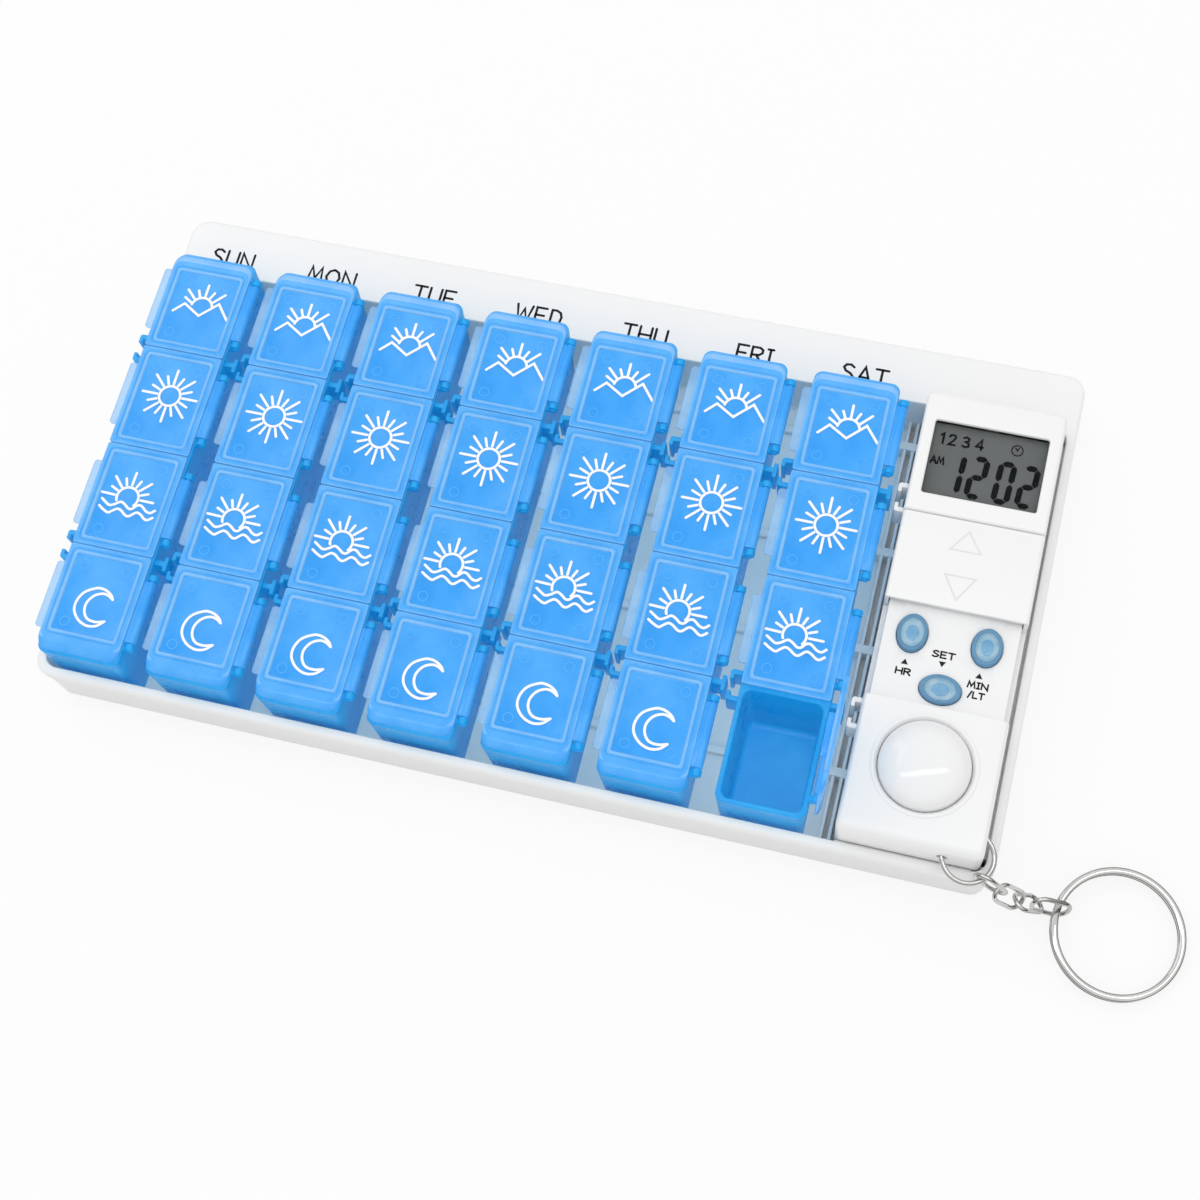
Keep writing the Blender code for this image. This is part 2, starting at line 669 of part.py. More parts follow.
def ear_middles():
    """The middles of the eight hinge ears from the strip's middle."""
    reach = BARREL_LENGTH / 2 + SEAT_GAP + EAR_THICKNESS / 2
    return [lid_row_y(row) + side * reach for row in range(len(DOSES)) for side in (1, -1)]


def ear_blocks():
    """Round ears on brackets, joined to the strip's right wall."""
    ears = None
    for middle in ear_middles():
        bm = bmesh.new()
        add_round(bm, (AXIS_X, middle, AXIS_Z), EAR_RADIUS, EAR_THICKNESS, EAR_SEGMENTS, "Y")
        ear = object_from("ear", bm, CUTTERS)
        low = (STRIP_WIDTH / 2 - BITE, middle - EAR_THICKNESS / 2 + MERGE_DISTANCE, AXIS_Z - EAR_BRACKET_DROP)
        high = (AXIS_X + EAR_RADIUS / 2, middle + EAR_THICKNESS / 2 - MERGE_DISTANCE, AXIS_Z - HINGE_RISE)
        boolean(ear, box_tool("ear_bracket", (low, high)), "UNION")
        if ears is None:
            ears = ear
        else:
            boolean(ears, ear, "UNION")
    return ears


def ear_holes():
    """The holes in the ears that the lids' pins turn in."""
    bm = bmesh.new()
    for middle in ear_middles():
        add_round(
            bm, (AXIS_X, middle, AXIS_Z), EAR_HOLE_RADIUS, EAR_THICKNESS + OVERRUN, PIN_SEGMENTS, "Y"
        )
    return object_from("ear_holes", bm, CUTTERS)


# Lids: origin on the hinge axis, the plate to the left of it
def lid_pattern(name, end):
    """One lid; end is 1 where its back edge is a strip's end, -1 for its front edge, 0 for neither."""
    right = -HINGE_OUT - LID_SIDE_GAP
    left = right - STRIP_WIDTH + 2 * LID_SIDE_GAP
    half = LID_LENGTH / 2
    top = LID_LIFT + LID_THICKNESS
    bm = bmesh.new()
    add_box(bm, (left, -half, LID_LIFT), (right, half, top))
    if end:
        corners = [edge for edge in bm.edges if upright(edge) and edge.verts[0].co.y * end > 0]
        bmesh.ops.bevel(bm, geom=corners, offset=LID_CORNER_RADIUS, segments=2, profile=0.5, affect="EDGES")
        limit = half - LID_CORNER_RADIUS

        def outer(edge):
            return all(vert.co.y * end > limit - MERGE_DISTANCE for vert in edge.verts)

        round_level_edges(bm, top, LID_END_ROUND, 1, keep=outer)
    lid = object_from(name, bm, CUTTERS, "blue_plastic")
    back_border = WINDOW_END_BORDER if end > 0 else WINDOW_SEAM_BORDER
    front_border = WINDOW_END_BORDER if end < 0 else WINDOW_SEAM_BORDER
    window_low = (left + WINDOW_SIDE_BORDER, -half + front_border, top - WINDOW_DEPTH)
    window_high = (right - WINDOW_SIDE_BORDER, half - back_border, top + OVERRUN)
    boolean(lid, box_tool("lid_window", (window_low, window_high)), "DIFFERENCE")
    tab_low = (left - THUMB_TAB_REACH, -THUMB_TAB_LENGTH / 2, LID_LIFT + MERGE_DISTANCE)
    tab_high = (left + BITE, THUMB_TAB_LENGTH / 2, LID_LIFT + THUMB_TAB_THICKNESS)
    boolean(lid, box_tool("thumb_tab", (tab_low, tab_high)), "UNION")
    latch_left = -HINGE_OUT - STRIP_WIDTH + STRIP_WALL + SEAT_GAP
    latch_low = (latch_left, -LATCH_LENGTH / 2, LID_LIFT - LATCH_DROP)
    latch_high = (latch_left + LATCH_THICKNESS, LATCH_LENGTH / 2, LID_LIFT + BITE)
    boolean(lid, box_tool("latch", (latch_low, latch_high)), "UNION")
    web_low = (right - BITE, -BARREL_LENGTH / 2 + MERGE_DISTANCE, LID_LIFT + MERGE_DISTANCE)
    web_high = (0.0, BARREL_LENGTH / 2 - MERGE_DISTANCE, BARREL_RADIUS * HINGE_WEB_SHARE)
    boolean(lid, box_tool("hinge_web", (web_low, web_high)), "UNION")
    boolean(lid, hinge_barrel(), "UNION")
    return evaluated_mesh(as_tool(lid), name)


def hinge_barrel():
    """The barrel and its two pin ends, along the hinge axis."""
    bm = bmesh.new()
    add_round(bm, (0.0, 0.0, 0.0), BARREL_RADIUS, BARREL_LENGTH, BARREL_SEGMENTS, "Y")
    barrel = object_from("hinge_barrel", bm, CUTTERS)
    pin_length = BARREL_LENGTH + 2 * PIN_REACH
    bm = bmesh.new()
    add_round(bm, (0.0, 0.0, 0.0), PIN_RADIUS, pin_length, PIN_SEGMENTS, "Y")
    boolean(barrel, object_from("hinge_pin", bm, CUTTERS), "UNION")
    return barrel


def make_strips():
    """Seven strips side by side, each carrying its four lids."""
    strip_mesh = strip_pattern()
    lid_meshes = {
        1: lid_pattern("lid_back_end", 1),
        0: lid_pattern("lid_middle", 0),
        -1: lid_pattern("lid_front_end", -1),
    }
    for index, day in enumerate(DAYS):
        strip = link_object(day + "_strip", strip_mesh, PARTS)
        x = FIRST_STRIP_X + index * STRIP_PITCH
        strip.location = (x, STRIP_MIDDLE_Y, SEAT_HEIGHT)
        for row, dose in enumerate(DOSES):
            end = {0: 1, len(DOSES) - 1: -1}.get(row, 0)
            lid = link_object(f"{day}_{dose}_lid", lid_meshes[end], PARTS)
            lid.parent = strip
            lid.location = (AXIS_X, lid_row_y(row), AXIS_Z)
            if (day, dose) == (OPEN_DAY, OPEN_DOSE):
                lid.rotation_euler.y = LID_OPEN_ANGLE


# Alarm clock: the lower case, with the battery housing and the screw posts
def make_lower_case():
    bm = bmesh.new()
    add_box(
        bm, (CLOCK_LEFT, CLOCK_FRONT, SEAT_HEIGHT), (CLOCK_RIGHT, CLOCK_BACK, CLOCK_SEAM),
        corner=CLOCK_CORNER_RADIUS, segments=CORNER_SEGMENTS - 1,
    )
    case = object_from("clock_lower_case", bm, finish="white_plastic")
    inner_low = (CLOCK_LEFT + CLOCK_WALL, CLOCK_FRONT + CLOCK_WALL, SEAT_HEIGHT + CLOCK_WALL)
    inner_high = (CLOCK_RIGHT - CLOCK_WALL, CLOCK_BACK - CLOCK_WALL, CLOCK_SEAM + OVERRUN)
    boolean(case, box_tool("lower_hollow", (inner_low, inner_high)), "DIFFERENCE")
    block_front = BATTERY_Y - DOOR_LENGTH / 2 - BATTERY_BLOCK_WALL
    block_back = BATTERY_Y + DOOR_LENGTH / 2 + DOOR_TRAVEL + BATTERY_BLOCK_WALL
    block_half = DOOR_WIDTH / 2 + BATTERY_BLOCK_WALL
    block_low = (CLOCK_X - block_half, block_front, SEAT_HEIGHT + BITE)
    block_high = (CLOCK_X + block_half, block_back, SEAT_HEIGHT + BATTERY_BLOCK_HEIGHT)
    boolean(case, box_tool("battery_block", (block_low, block_high)), "UNION")
    recess_low = (
        CLOCK_X - DOOR_WIDTH / 2 - SEAT_GAP, BATTERY_Y - DOOR_LENGTH / 2 - SEAT_GAP, SEAT_HEIGHT - OVERRUN
    )
    recess_high = (
        CLOCK_X + DOOR_WIDTH / 2 + SEAT_GAP, BATTERY_Y + DOOR_LENGTH / 2 + DOOR_TRAVEL + SEAT_GAP,
        DOOR_RECESS_TOP,
    )
    boolean(case, box_tool("door_recess", (recess_low, recess_high)), "DIFFERENCE")
    well = post_tool(
        "battery_well", (CLOCK_X, BATTERY_Y), SEAT_HEIGHT, BATTERY_CAVITY_TOP,
        CELL_BATTERY_RADIUS + SEAT_GAP, HOLE_SEGMENTS,
    )
    boolean(case, well, "DIFFERENCE")
    slot_half = CONTACT_WIDTH / 2 + SEAT_GAP
    slot_low = (CLOCK_X - slot_half, BATTERY_Y - slot_half, DOOR_RECESS_TOP)
    slot_high = (CLOCK_X + slot_half, BATTERY_Y + slot_half, CLOCK_SEAM + OVERRUN)
    boolean(case, box_tool("contact_slot", (slot_low, slot_high)), "DIFFERENCE")
    for place in SCREW_PLACES.values():
        head_room = SEAT_HEIGHT + SEAT_GAP + SCREW_HEAD_HEIGHT + SCREW_HOLE_GAP
        foot_radius = SCREW_HEAD_RADIUS + SCREW_HOLE_GAP + BOSS_WALL
        foot = post_tool("screw_foot", place, SEAT_HEIGHT + BITE, head_room + BOSS_WALL, foot_radius)
        boolean(case, foot, "UNION")
        post_radius = SCREW_RADIUS + SCREW_HOLE_GAP + BOSS_WALL
        post = post_tool("screw_post", place, SEAT_HEIGHT + BITE, BOARD_BASE - SEAT_GAP, post_radius)
        boolean(case, post, "UNION")
        shank = post_tool(
            "shank_hole", place, SEAT_HEIGHT - OVERRUN, BOARD_BASE + OVERRUN, SCREW_RADIUS + SCREW_HOLE_GAP
        )
        boolean(case, shank, "DIFFERENCE")
        head = post_tool(
            "head_hole", place, SEAT_HEIGHT - OVERRUN, head_room, SCREW_HEAD_RADIUS + SCREW_HOLE_GAP
        )
        boolean(case, head, "DIFFERENCE")
    return case


# Alarm clock: the upper case, with its panels, window, holes and key ring corner
def make_upper_case():
    base = CLOCK_SEAM + SEAT_GAP
    bm = bmesh.new()
    add_box(
        bm, (CLOCK_LEFT, CLOCK_FRONT, base), (CLOCK_RIGHT, CLOCK_BACK, CLOCK_TOP),
        corner=CLOCK_CORNER_RADIUS, segments=CORNER_SEGMENTS - 1,
    )
    round_level_edges(bm, CLOCK_TOP, CLOCK_TOP_ROUND, 2)
    case = object_from("clock_upper_case", bm, finish="white_plastic")
    for tool in clock_cavities(base):
        boolean(case, tool, "DIFFERENCE")
    for tool in cover_tracks():
        boolean(case, tool, "DIFFERENCE")
    for tool in display_cuts():
        boolean(case, tool, "DIFFERENCE")
    for place in SCREW_PLACES.values():
        boss_radius = SCREW_RADIUS + SCREW_HOLE_GAP + BOSS_WALL
        boolean(case, post_tool("screw_boss", place, BOARD_TOP + SEAT_GAP, CEILING + BITE, boss_radius), "UNION")
        hole = post_tool(
            "boss_hole", place, BOARD_TOP - OVERRUN, screw_tip_height() + SEAT_GAP, SCREW_RADIUS + SCREW_HOLE_GAP
        )
        boolean(case, hole, "DIFFERENCE")
    for name in BUTTON_NAMES:
        boolean(case, button_hole(name), "DIFFERENCE")
    ring = turned("dome_ring", ring_profile(), DOME_SEGMENTS, CUTTERS)
    ring.location = (CLOCK_X, DOME_Y, CLOCK_TOP)
    boolean(case, ring, "UNION")
    dome_hole = post_tool(
        "dome_hole", (CLOCK_X, DOME_Y), CEILING - OVERRUN, CLOCK_TOP + OVERRUN, DOME_RADIUS + SEAT_GAP,
        DOME_SEGMENTS,
    )
    boolean(case, dome_hole, "DIFFERENCE")
    boolean(case, loop_tunnel(), "DIFFERENCE")
    clip_base = CLOCK_PRONG_TOP - CLIP_HEIGHT
    for middle in clip_rows():
        for side in (1, -1):
            outline = prong_outline(CLOCK_LEFT, side, STRIP_MIDDLE_Y + middle, CLOCK_PRONG_REACH)
            boolean(case, prism("clock_prong", outline, clip_base, CLOCK_PRONG_TOP), "UNION")
    return case


def clock_cavities(base):
    """The inside of the upper case, in steps, less the solid key ring corner."""
    low_y, high_y = CLOCK_FRONT + CLOCK_WALL, CLOCK_BACK - CLOCK_WALL
    shoulder = COVER_FOOT - SEAT_GAP - CLOCK_WALL
    wide = box_tool("wide_cavity", (
        (CLOCK_X - CAVITY_HALF_WIDTH, low_y, base - OVERRUN), (CLOCK_X + CAVITY_HALF_WIDTH, high_y, shoulder)
    ))
    front = box_tool("dome_cavity", (
        (CLOCK_X - CAVITY_HALF_WIDTH, low_y, shoulder - BITE),
        (CLOCK_X + CAVITY_HALF_WIDTH, TRACK_FRONT - TRACK_WALL, CEILING),
    ))
    back = box_tool("display_cavity", (
        (CLOCK_X - CAVITY_HALF_WIDTH, TRACK_BACK + CLOCK_WALL, shoulder - BITE),
        (CLOCK_X + CAVITY_HALF_WIDTH, high_y, CEILING),
    ))
    middle = box_tool("track_cavity", (
        (CLOCK_X - TRACK_CAVITY_HALF_WIDTH, TRACK_FRONT - TRACK_WALL - BITE, shoulder - BITE),
        (CLOCK_X + TRACK_CAVITY_HALF_WIDTH, TRACK_BACK + CLOCK_WALL + BITE, PANEL_BOTTOM),
    ))
    for cavity in (wide, front):
        boolean(cavity, loop_block(), "DIFFERENCE")
    return wide, front, back, middle


def loop_block():
    """The round block of solid plastic that the wire loop passes through."""
    low = LOOP_HEIGHT - TUNNEL_BLOCK_HALF_HEIGHT
    high = LOOP_HEIGHT + TUNNEL_BLOCK_HALF_HEIGHT
    return post_tool("loop_block", LOOP_CENTRE.xy, low, high, TUNNEL_BLOCK_RADIUS, DOME_SEGMENTS)


def loop_tunnel():
    """The round passage through the front right corner."""
    bpy.ops.mesh.primitive_torus_add(
        major_radius=LOOP_RADIUS, minor_radius=TUNNEL_RADIUS,
        major_segments=TUNNEL_SEGMENTS, minor_segments=TUNNEL_TUBE_SEGMENTS,
    )
    tunnel = bpy.context.object
    tunnel.name = "loop_tunnel"
    tunnel.matrix_world = loop_matrix()
    return tunnel


def cover_tracks():
    """The dropped button panel, its narrow neck and the grooves for the cover's lips."""
    outside = CLOCK_WIDTH / 2 + OVERRUN
    top = box_tool("panel_drop", (
        (CLOCK_X - outside, TRACK_FRONT, PANEL_TOP), (CLOCK_X + outside, TRACK_BACK, CLOCK_TOP + OVERRUN)
    ))
    foot = COVER_FOOT - SEAT_GAP
    sides = []
    grooves = []
    for side in (-1, 1):
        near, far = sorted((CLOCK_X + side * NECK_HALF_WIDTH, CLOCK_X + side * outside))
        sides.append(((near, TRACK_FRONT, foot), (far, TRACK_BACK, PANEL_TOP + BITE)))
        near, far = sorted((CLOCK_X + side * GROOVE_HALF_WIDTH, CLOCK_X + side * outside))
        groove_top = COVER_FOOT + COVER_LIP_THICKNESS + SEAT_GAP
        grooves.append(((near, TRACK_FRONT, foot), (far, TRACK_BACK, groove_top)))
    return top, box_tool("neck_sides", *sides), box_tool("lip_grooves", *grooves)


def display_cuts():
    """The window and the seat behind it for the lens."""
    window_half = Vector((WINDOW_WIDTH / 2, WINDOW_LENGTH / 2))
    seat_half = window_half + Vector((LENS_MARGIN + SEAT_GAP, LENS_MARGIN + SEAT_GAP))
    window = box_tool("window_hole", (
        (DISPLAY_X - window_half.x, DISPLAY_Y - window_half.y, CEILING - OVERRUN),
        (DISPLAY_X + window_half.x, DISPLAY_Y + window_half.y, CLOCK_TOP + OVERRUN),
    ))
    seat = box_tool("lens_seat", (
        (DISPLAY_X - seat_half.x, DISPLAY_Y - seat_half.y, CEILING - OVERRUN),
        (DISPLAY_X + seat_half.x, DISPLAY_Y + seat_half.y, LENS_TOP + SEAT_GAP),
    ))
    return window, seat


def ring_profile():
    """The low raised ring moulded round the dome, as a half round profile."""
    steps = DOME_ARC_STEPS
    angles = [HALF_TURN * step / steps for step in range(steps + 1)]
    points = [
        (DOME_RING_RADIUS - DOME_RING_TUBE * math.cos(angle), DOME_RING_TUBE * math.sin(angle))
        for angle in angles
    ]
    foot = [
        (DOME_RING_RADIUS + DOME_RING_TUBE, -BITE), (DOME_RING_RADIUS - DOME_RING_TUBE, -BITE), points[0]
    ]
    return points + foot


# Alarm clock: push buttons
def button_size(name):
    """Half the width and half the length of one oval button."""
    across, along = SET_BUTTON_SHARES if name == "set_button" else SIDE_BUTTON_SHARES
    return across * CLOCK_WIDTH / 2, along * BUTTON_PANEL_LENGTH / 2


def button_place(name):
    """Where a button's middle lies on the panel."""
    index = BUTTON_NAMES.index(name)
    x = CLOCK_X + BUTTON_X_SHARES[index] * CLOCK_WIDTH
    return x, PANEL_MIDDLE_Y + BUTTON_Y_SHARES[index] * BUTTON_PANEL_LENGTH


def button_hole(name):
    """The oval hole that a button moves in."""
    half_width, half_length = button_size(name)
    low, high = PANEL_BOTTOM - OVERRUN, PANEL_TOP + OVERRUN
    hole = post_tool(name + "_hole", (0.0, 0.0), low, high, UNIT, BUTTON_SEGMENTS)
    hole.location = (*button_place(name), 0.0)
    hole.scale = (half_width + BUTTON_HOLE_GAP, half_length + BUTTON_HOLE_GAP, 1.0)
    return hole


def make_button(name):
    """A dished oval cap, with a tab before and behind it under the panel that keeps it in."""
    half_width, half_length = button_size(name)
    top = PANEL_TOP + BUTTON_PROUD
    tab_top = PANEL_BOTTOM - SEAT_GAP
    foot = tab_top - BUTTON_TAB_THICKNESS
    profile = [
        (0.0, top - BUTTON_DISH), (BUTTON_DISH_SHARE, top - BUTTON_DISH), (BUTTON_CROWN_SHARE, top),
        (UNIT, top - BUTTON_EDGE_ROUND), (UNIT, foot), (0.0, foot),
    ]
    button = turned(name, profile, BUTTON_SEGMENTS, finish="button_blue")
    x, y = button_place(name)
    button.location = (x, y, 0.0)
    button.scale = (half_width, half_length, 1.0)
    tab_half, reach = BUTTON_TAB_WIDTH / 2, half_length + BUTTON_TAB_REACH
    tabs = ((x - tab_half, y - reach, foot - MERGE_DISTANCE), (x + tab_half, y + reach, tab_top))
    boolean(button, box_tool(name + "_tabs", tabs), "UNION")
    return button


def make_dome_button():
    """The large alarm button: a domed shell with a flange and a middle stem."""
    outer = [(r, CLOCK_TOP + z) for r, z in arc_points(DOME_RADIUS, DOME_RISE, DOME_ARC_STEPS)]
    inner_radius = DOME_RADIUS - DOME_SHELL
    inner = [(r, CLOCK_TOP + z) for r, z in arc_points(inner_radius, DOME_RISE - DOME_SHELL, DOME_ARC_STEPS)]
    flange_top = CEILING - SEAT_GAP
    flange_bottom = flange_top - DOME_FLANGE_THICKNESS
    stem_meets = CLOCK_TOP + DOME_RISE - DOME_SHELL
    stem_foot = stem_meets - DOME_STEM_LENGTH
    profile = outer + [
        (DOME_RADIUS, flange_top), (DOME_RADIUS + DOME_FLANGE, flange_top),
        (DOME_RADIUS + DOME_FLANGE, flange_bottom), (inner_radius, flange_bottom),
    ]
    profile += inner[:0:-1]
    profile += [(DOME_STEM_RADIUS, stem_meets), (DOME_STEM_RADIUS, stem_foot), (0.0, stem_foot)]
    dome = turned("dome_button", profile, DOME_SEGMENTS, finish="dome_white")
    dome.location = (CLOCK_X, DOME_Y, 0.0)
    return dome


# Alarm clock: the cover that slides over the buttons
def make_slide_cover():
    half = CLOCK_WIDTH / 2
    plate_bottom = CLOCK_TOP - COVER_THICKNESS
    lip_half = SKIRT_INNER - COVER_LIP
    lip_top = COVER_FOOT + COVER_LIP_THICKNESS
    outline = [
        (-half, COVER_FOOT), (-lip_half, COVER_FOOT), (-lip_half, lip_top), (-SKIRT_INNER, lip_top),
        (-SKIRT_INNER, plate_bottom), (SKIRT_INNER, plate_bottom), (SKIRT_INNER, lip_top), (lip_half, lip_top),
        (lip_half, COVER_FOOT), (half, COVER_FOOT), (half, CLOCK_TOP - CLOCK_TOP_ROUND),
        (half - CLOCK_TOP_ROUND, CLOCK_TOP), (-half + CLOCK_TOP_ROUND, CLOCK_TOP),
        (-half, CLOCK_TOP - CLOCK_TOP_ROUND),
    ]
    length = COVER_LENGTH - 2 * COVER_END_GAP
    cover = prism("button_cover", outline, -length / 2, length / 2)
    cover.data.transform(Matrix.Rotation(HALF_TURN / 2, 4, "X"))
    return as_part(cover, "white_plastic", (CLOCK_X, TRACK_BACK - COVER_LENGTH / 2, 0.0))


def as_part(item, finish, location):
    """Moves a welded copy into the parts and gives it a finish."""
    for collection in list(item.users_collection):
        collection.objects.unlink(item)
    PARTS.objects.link(item)
    item.data.materials.append(MATERIALS[finish])
    item.location = location
    return item


# Alarm clock: display, circuit board and what is soldered or clipped to it
def display_box(name, margin, low, high, finish):
    """A flat plate under the window, wider than it by a margin."""
    half_x, half_y = WINDOW_WIDTH / 2 + margin, WINDOW_LENGTH / 2 + margin
    bm = bmesh.new()
    add_box(bm, (DISPLAY_X - half_x, DISPLAY_Y - half_y, low), (DISPLAY_X + half_x, DISPLAY_Y + half_y, high))
    return object_from(name, bm, finish=finish)


def make_display():
    """The clear lens, the display glass and the frame that holds it over the board."""
    display_box("display_lens", LENS_MARGIN, LENS_TOP - LENS_THICKNESS, LENS_TOP, "clear_plastic")
    display_box("display_glass", DISPLAY_GLASS_MARGIN, GLASS_BOTTOM, GLASS_TOP, "display_grey")
    foot, head = BOARD_TOP + SEAT_GAP, GLASS_BOTTOM - SEAT_GAP
    holder = display_box("display_holder", DISPLAY_GLASS_MARGIN, foot, head, "white_plastic")
    hole_x = WINDOW_WIDTH / 2 + DISPLAY_GLASS_MARGIN - HOLDER_WALL
    hole_y = WINDOW_LENGTH / 2 + DISPLAY_GLASS_MARGIN - HOLDER_WALL
    hole = box_tool("holder_hole", (
        (DISPLAY_X - hole_x, DISPLAY_Y - hole_y, foot - OVERRUN),
        (DISPLAY_X + hole_x, DISPLAY_Y + hole_y, head + OVERRUN),
    ))
    boolean(holder, hole, "DIFFERENCE")


def make_circuit_board():
    """The board, with its switches, clamped between the posts and the bosses."""
    low_y, high_y = CLOCK_FRONT + BOARD_END_MARGIN, CLOCK_BACK - BOARD_END_MARGIN
    bm = bmesh.new()
    add_box(
        bm, (CLOCK_X - BOARD_HALF_WIDTH, low_y, BOARD_BASE), (CLOCK_X + BOARD_HALF_WIDTH, high_y, BOARD_TOP)
    )
    board = object_from("circuit_board", bm, finish="board_green")
    button_foot = PANEL_BOTTOM - SEAT_GAP - BUTTON_TAB_THICKNESS
    heights = [(button_place(name), button_foot - BUTTON_TRAVEL - SEAT_GAP) for name in BUTTON_NAMES]
    stem_foot = CLOCK_TOP + DOME_RISE - DOME_SHELL - DOME_STEM_LENGTH
    heights.append(((CLOCK_X, DOME_Y), stem_foot - DOME_TRAVEL - SEAT_GAP))
    half = SWITCH_SIZE / 2
    switches = [
        ((x - half, y - half, BOARD_TOP - BITE), (x + half, y + half, high)) for (x, y), high in heights
    ]
    boolean(board, box_tool("switches", *switches), "UNION")
    for place in SCREW_PLACES.values():
        hole = post_tool(
            "board_hole", place, BOARD_BASE - OVERRUN, BOARD_TOP + OVERRUN, SCREW_RADIUS + SCREW_HOLE_GAP
        )
        boolean(board, hole, "DIFFERENCE")
    return board


def screw_tip_height():
    """How high the screws reach into the upper bosses."""
    return CEILING - CLOCK_WALL


def make_screws():
    """Two case screws, put in from below."""
    for name, place in SCREW_PLACES.items():
        foot = SEAT_HEIGHT + SEAT_GAP
        head_top = foot + SCREW_HEAD_HEIGHT
        profile = [
            (0.0, screw_tip_height()), (SCREW_RADIUS, screw_tip_height() - SCREW_RADIUS),
            (SCREW_RADIUS, head_top), (SCREW_HEAD_RADIUS, head_top), (SCREW_HEAD_RADIUS, foot), (0.0, foot),
        ]
        screw = turned(name, profile, SMALL_ROUND_SEGMENTS - 2, finish="bright_steel")
        screw.location = (*place, 0.0)


def make_board_parts():
    """The buzzer under the board, and the lamp and battery contact that meet it."""
    buzzer_top = BOARD_BASE - SEAT_GAP
    bm = bmesh.new()
    add_post(bm, (CLOCK_X, DOME_Y), buzzer_top - BUZZER_HEIGHT, buzzer_top, BUZZER_RADIUS, BUTTON_SEGMENTS)
    object_from("buzzer", bm, finish="brass")
    lamp_foot = BOARD_TOP + SEAT_GAP
    lamp_top = lamp_foot + LED_HEIGHT
    profile = [
        (0.0, lamp_top), (LED_RADIUS * LED_TIP_SHARE, lamp_top - LED_RADIUS / 2),
        (LED_RADIUS, lamp_top - LED_RADIUS), (LED_RADIUS, lamp_foot + LED_BASE_HEIGHT),
        (LED_BASE_RADIUS, lamp_foot + LED_BASE_HEIGHT), (LED_BASE_RADIUS, lamp_foot), (0.0, lamp_foot),
    ]
    lamp = turned("alarm_lamp", profile, SMALL_ROUND_SEGMENTS, finish="lamp_red")
    lamp.location = (CLOCK_X + LED_SHIFT, DOME_Y, 0.0)
    tongue_low = BATTERY_TOP + SEAT_GAP
    half = CONTACT_WIDTH / 2
    outline = [
        (-half, tongue_low), (half, tongue_low), (half, BOARD_BASE - SEAT_GAP),
        (half - CONTACT_THICKNESS, BOARD_BASE - SEAT_GAP), (half - CONTACT_THICKNESS, tongue_low + CONTACT_THICKNESS),
        (-half, tongue_low + CONTACT_THICKNESS),
    ]
    contact = prism("battery_contact", outline, -half, half)
    contact.data.transform(Matrix.Rotation(HALF_TURN / 2, 4, "X"))
    as_part(contact, "brass", (CLOCK_X, BATTERY_Y, 0.0))


def make_battery():
    """The coin cell and the sliding door below it."""
    bm = bmesh.new()
    add_post(
        bm, (CLOCK_X, BATTERY_Y), DOOR_RECESS_TOP, BATTERY_TOP, CELL_BATTERY_RADIUS, HOLE_SEGMENTS
    )
    object_from("coin_cell", bm, finish="bright_steel")
    bm = bmesh.new()
    half_x, half_y = DOOR_WIDTH / 2, DOOR_LENGTH / 2
    add_box(bm, (-half_x, -half_y, SEAT_HEIGHT), (half_x, half_y, DOOR_TOP), corner=SEAT_GAP, segments=1)
    door = object_from("battery_door", bm, finish="white_plastic")
    door.location = (CLOCK_X, BATTERY_Y, 0.0)


# Key chain: a wire loop through the clock's corner, four links and a split ring
def loop_matrix():
    """Tilts the loop down where it leaves the corner."""
    tilt = Matrix.Rotation(LOOP_TILT, 4, Vector((1.0, 1.0, 0.0)))
    return Matrix.Translation(LOOP_CENTRE) @ tilt


def wire_object(name, points, radius, cyclic=True, resolution=2):
    """A bent wire through the points."""
    curve = bpy.data.curves.new(name, "CURVE")
    curve.dimensions = "3D"
    curve.bevel_depth = radius
    curve.bevel_resolution = resolution
    curve.use_fill_caps = not cyclic
    spline = curve.splines.new("POLY")
    spline.points.add(len(points) - 1)
    for target, point in zip(spline.points, points):
        target.co = (*point, 1.0)
    spline.use_cyclic_u = cyclic
    curve.materials.append(MATERIALS["bright_steel"])
    return link_object(name, curve, PARTS)


def make_loop():
    """The round wire loop that turns in the tunnel."""
    points = []
    for step in range(LOOP_POINTS):
        angle = FULL_TURN * step / LOOP_POINTS
        points.append(Vector((LOOP_RADIUS * math.cos(angle), LOOP_RADIUS * math.sin(angle), 0.0)))
    loop = wire_object("wire_loop", points, LOOP_WIRE)
    loop.matrix_world = loop_matrix()


def loop_exit():
    """The point of the loop that the first link hangs on."""
    heading = Vector((math.cos(LOOP_EXIT_HEADING), math.sin(LOOP_EXIT_HEADING), 0.0))
    return loop_matrix() @ (heading * LOOP_RADIUS)


def link_direction(index):
    """Which way one link runs."""
    heading, dip = LINK_HEADINGS[index], LINK_DIPS[index]
    return Vector((math.cos(dip) * math.cos(heading), math.cos(dip) * math.sin(heading), -math.sin(dip)))


def link_frame(index, start):
    """A matrix with X along the link and Y across its flat, rolled about X."""
    along = link_direction(index)
    level = Vector((0.0, 0.0, 1.0)).cross(along).normalized()
    turn = Matrix.Rotation(LINK_ROLLS[index], 3, along)
    across = turn @ level
    normal = along.cross(across)
    matrix = Matrix((along, across, normal)).transposed().to_4x4()
    matrix.translation = start
    return matrix


def stadium(length, half_width, steps):
    """A long oval about the X axis, from 0 to its length, as centre line points."""
    points = []
    for side, middle in ((1, length - half_width), (-1, half_width)):
        for step in range(steps):
            angle = -HALF_TURN / 2 + HALF_TURN * step / (steps - 1)
            across = side * half_width * math.sin(angle)
            points.append(Vector((middle + side * half_width * math.cos(angle), across, 0.0)))
    return points


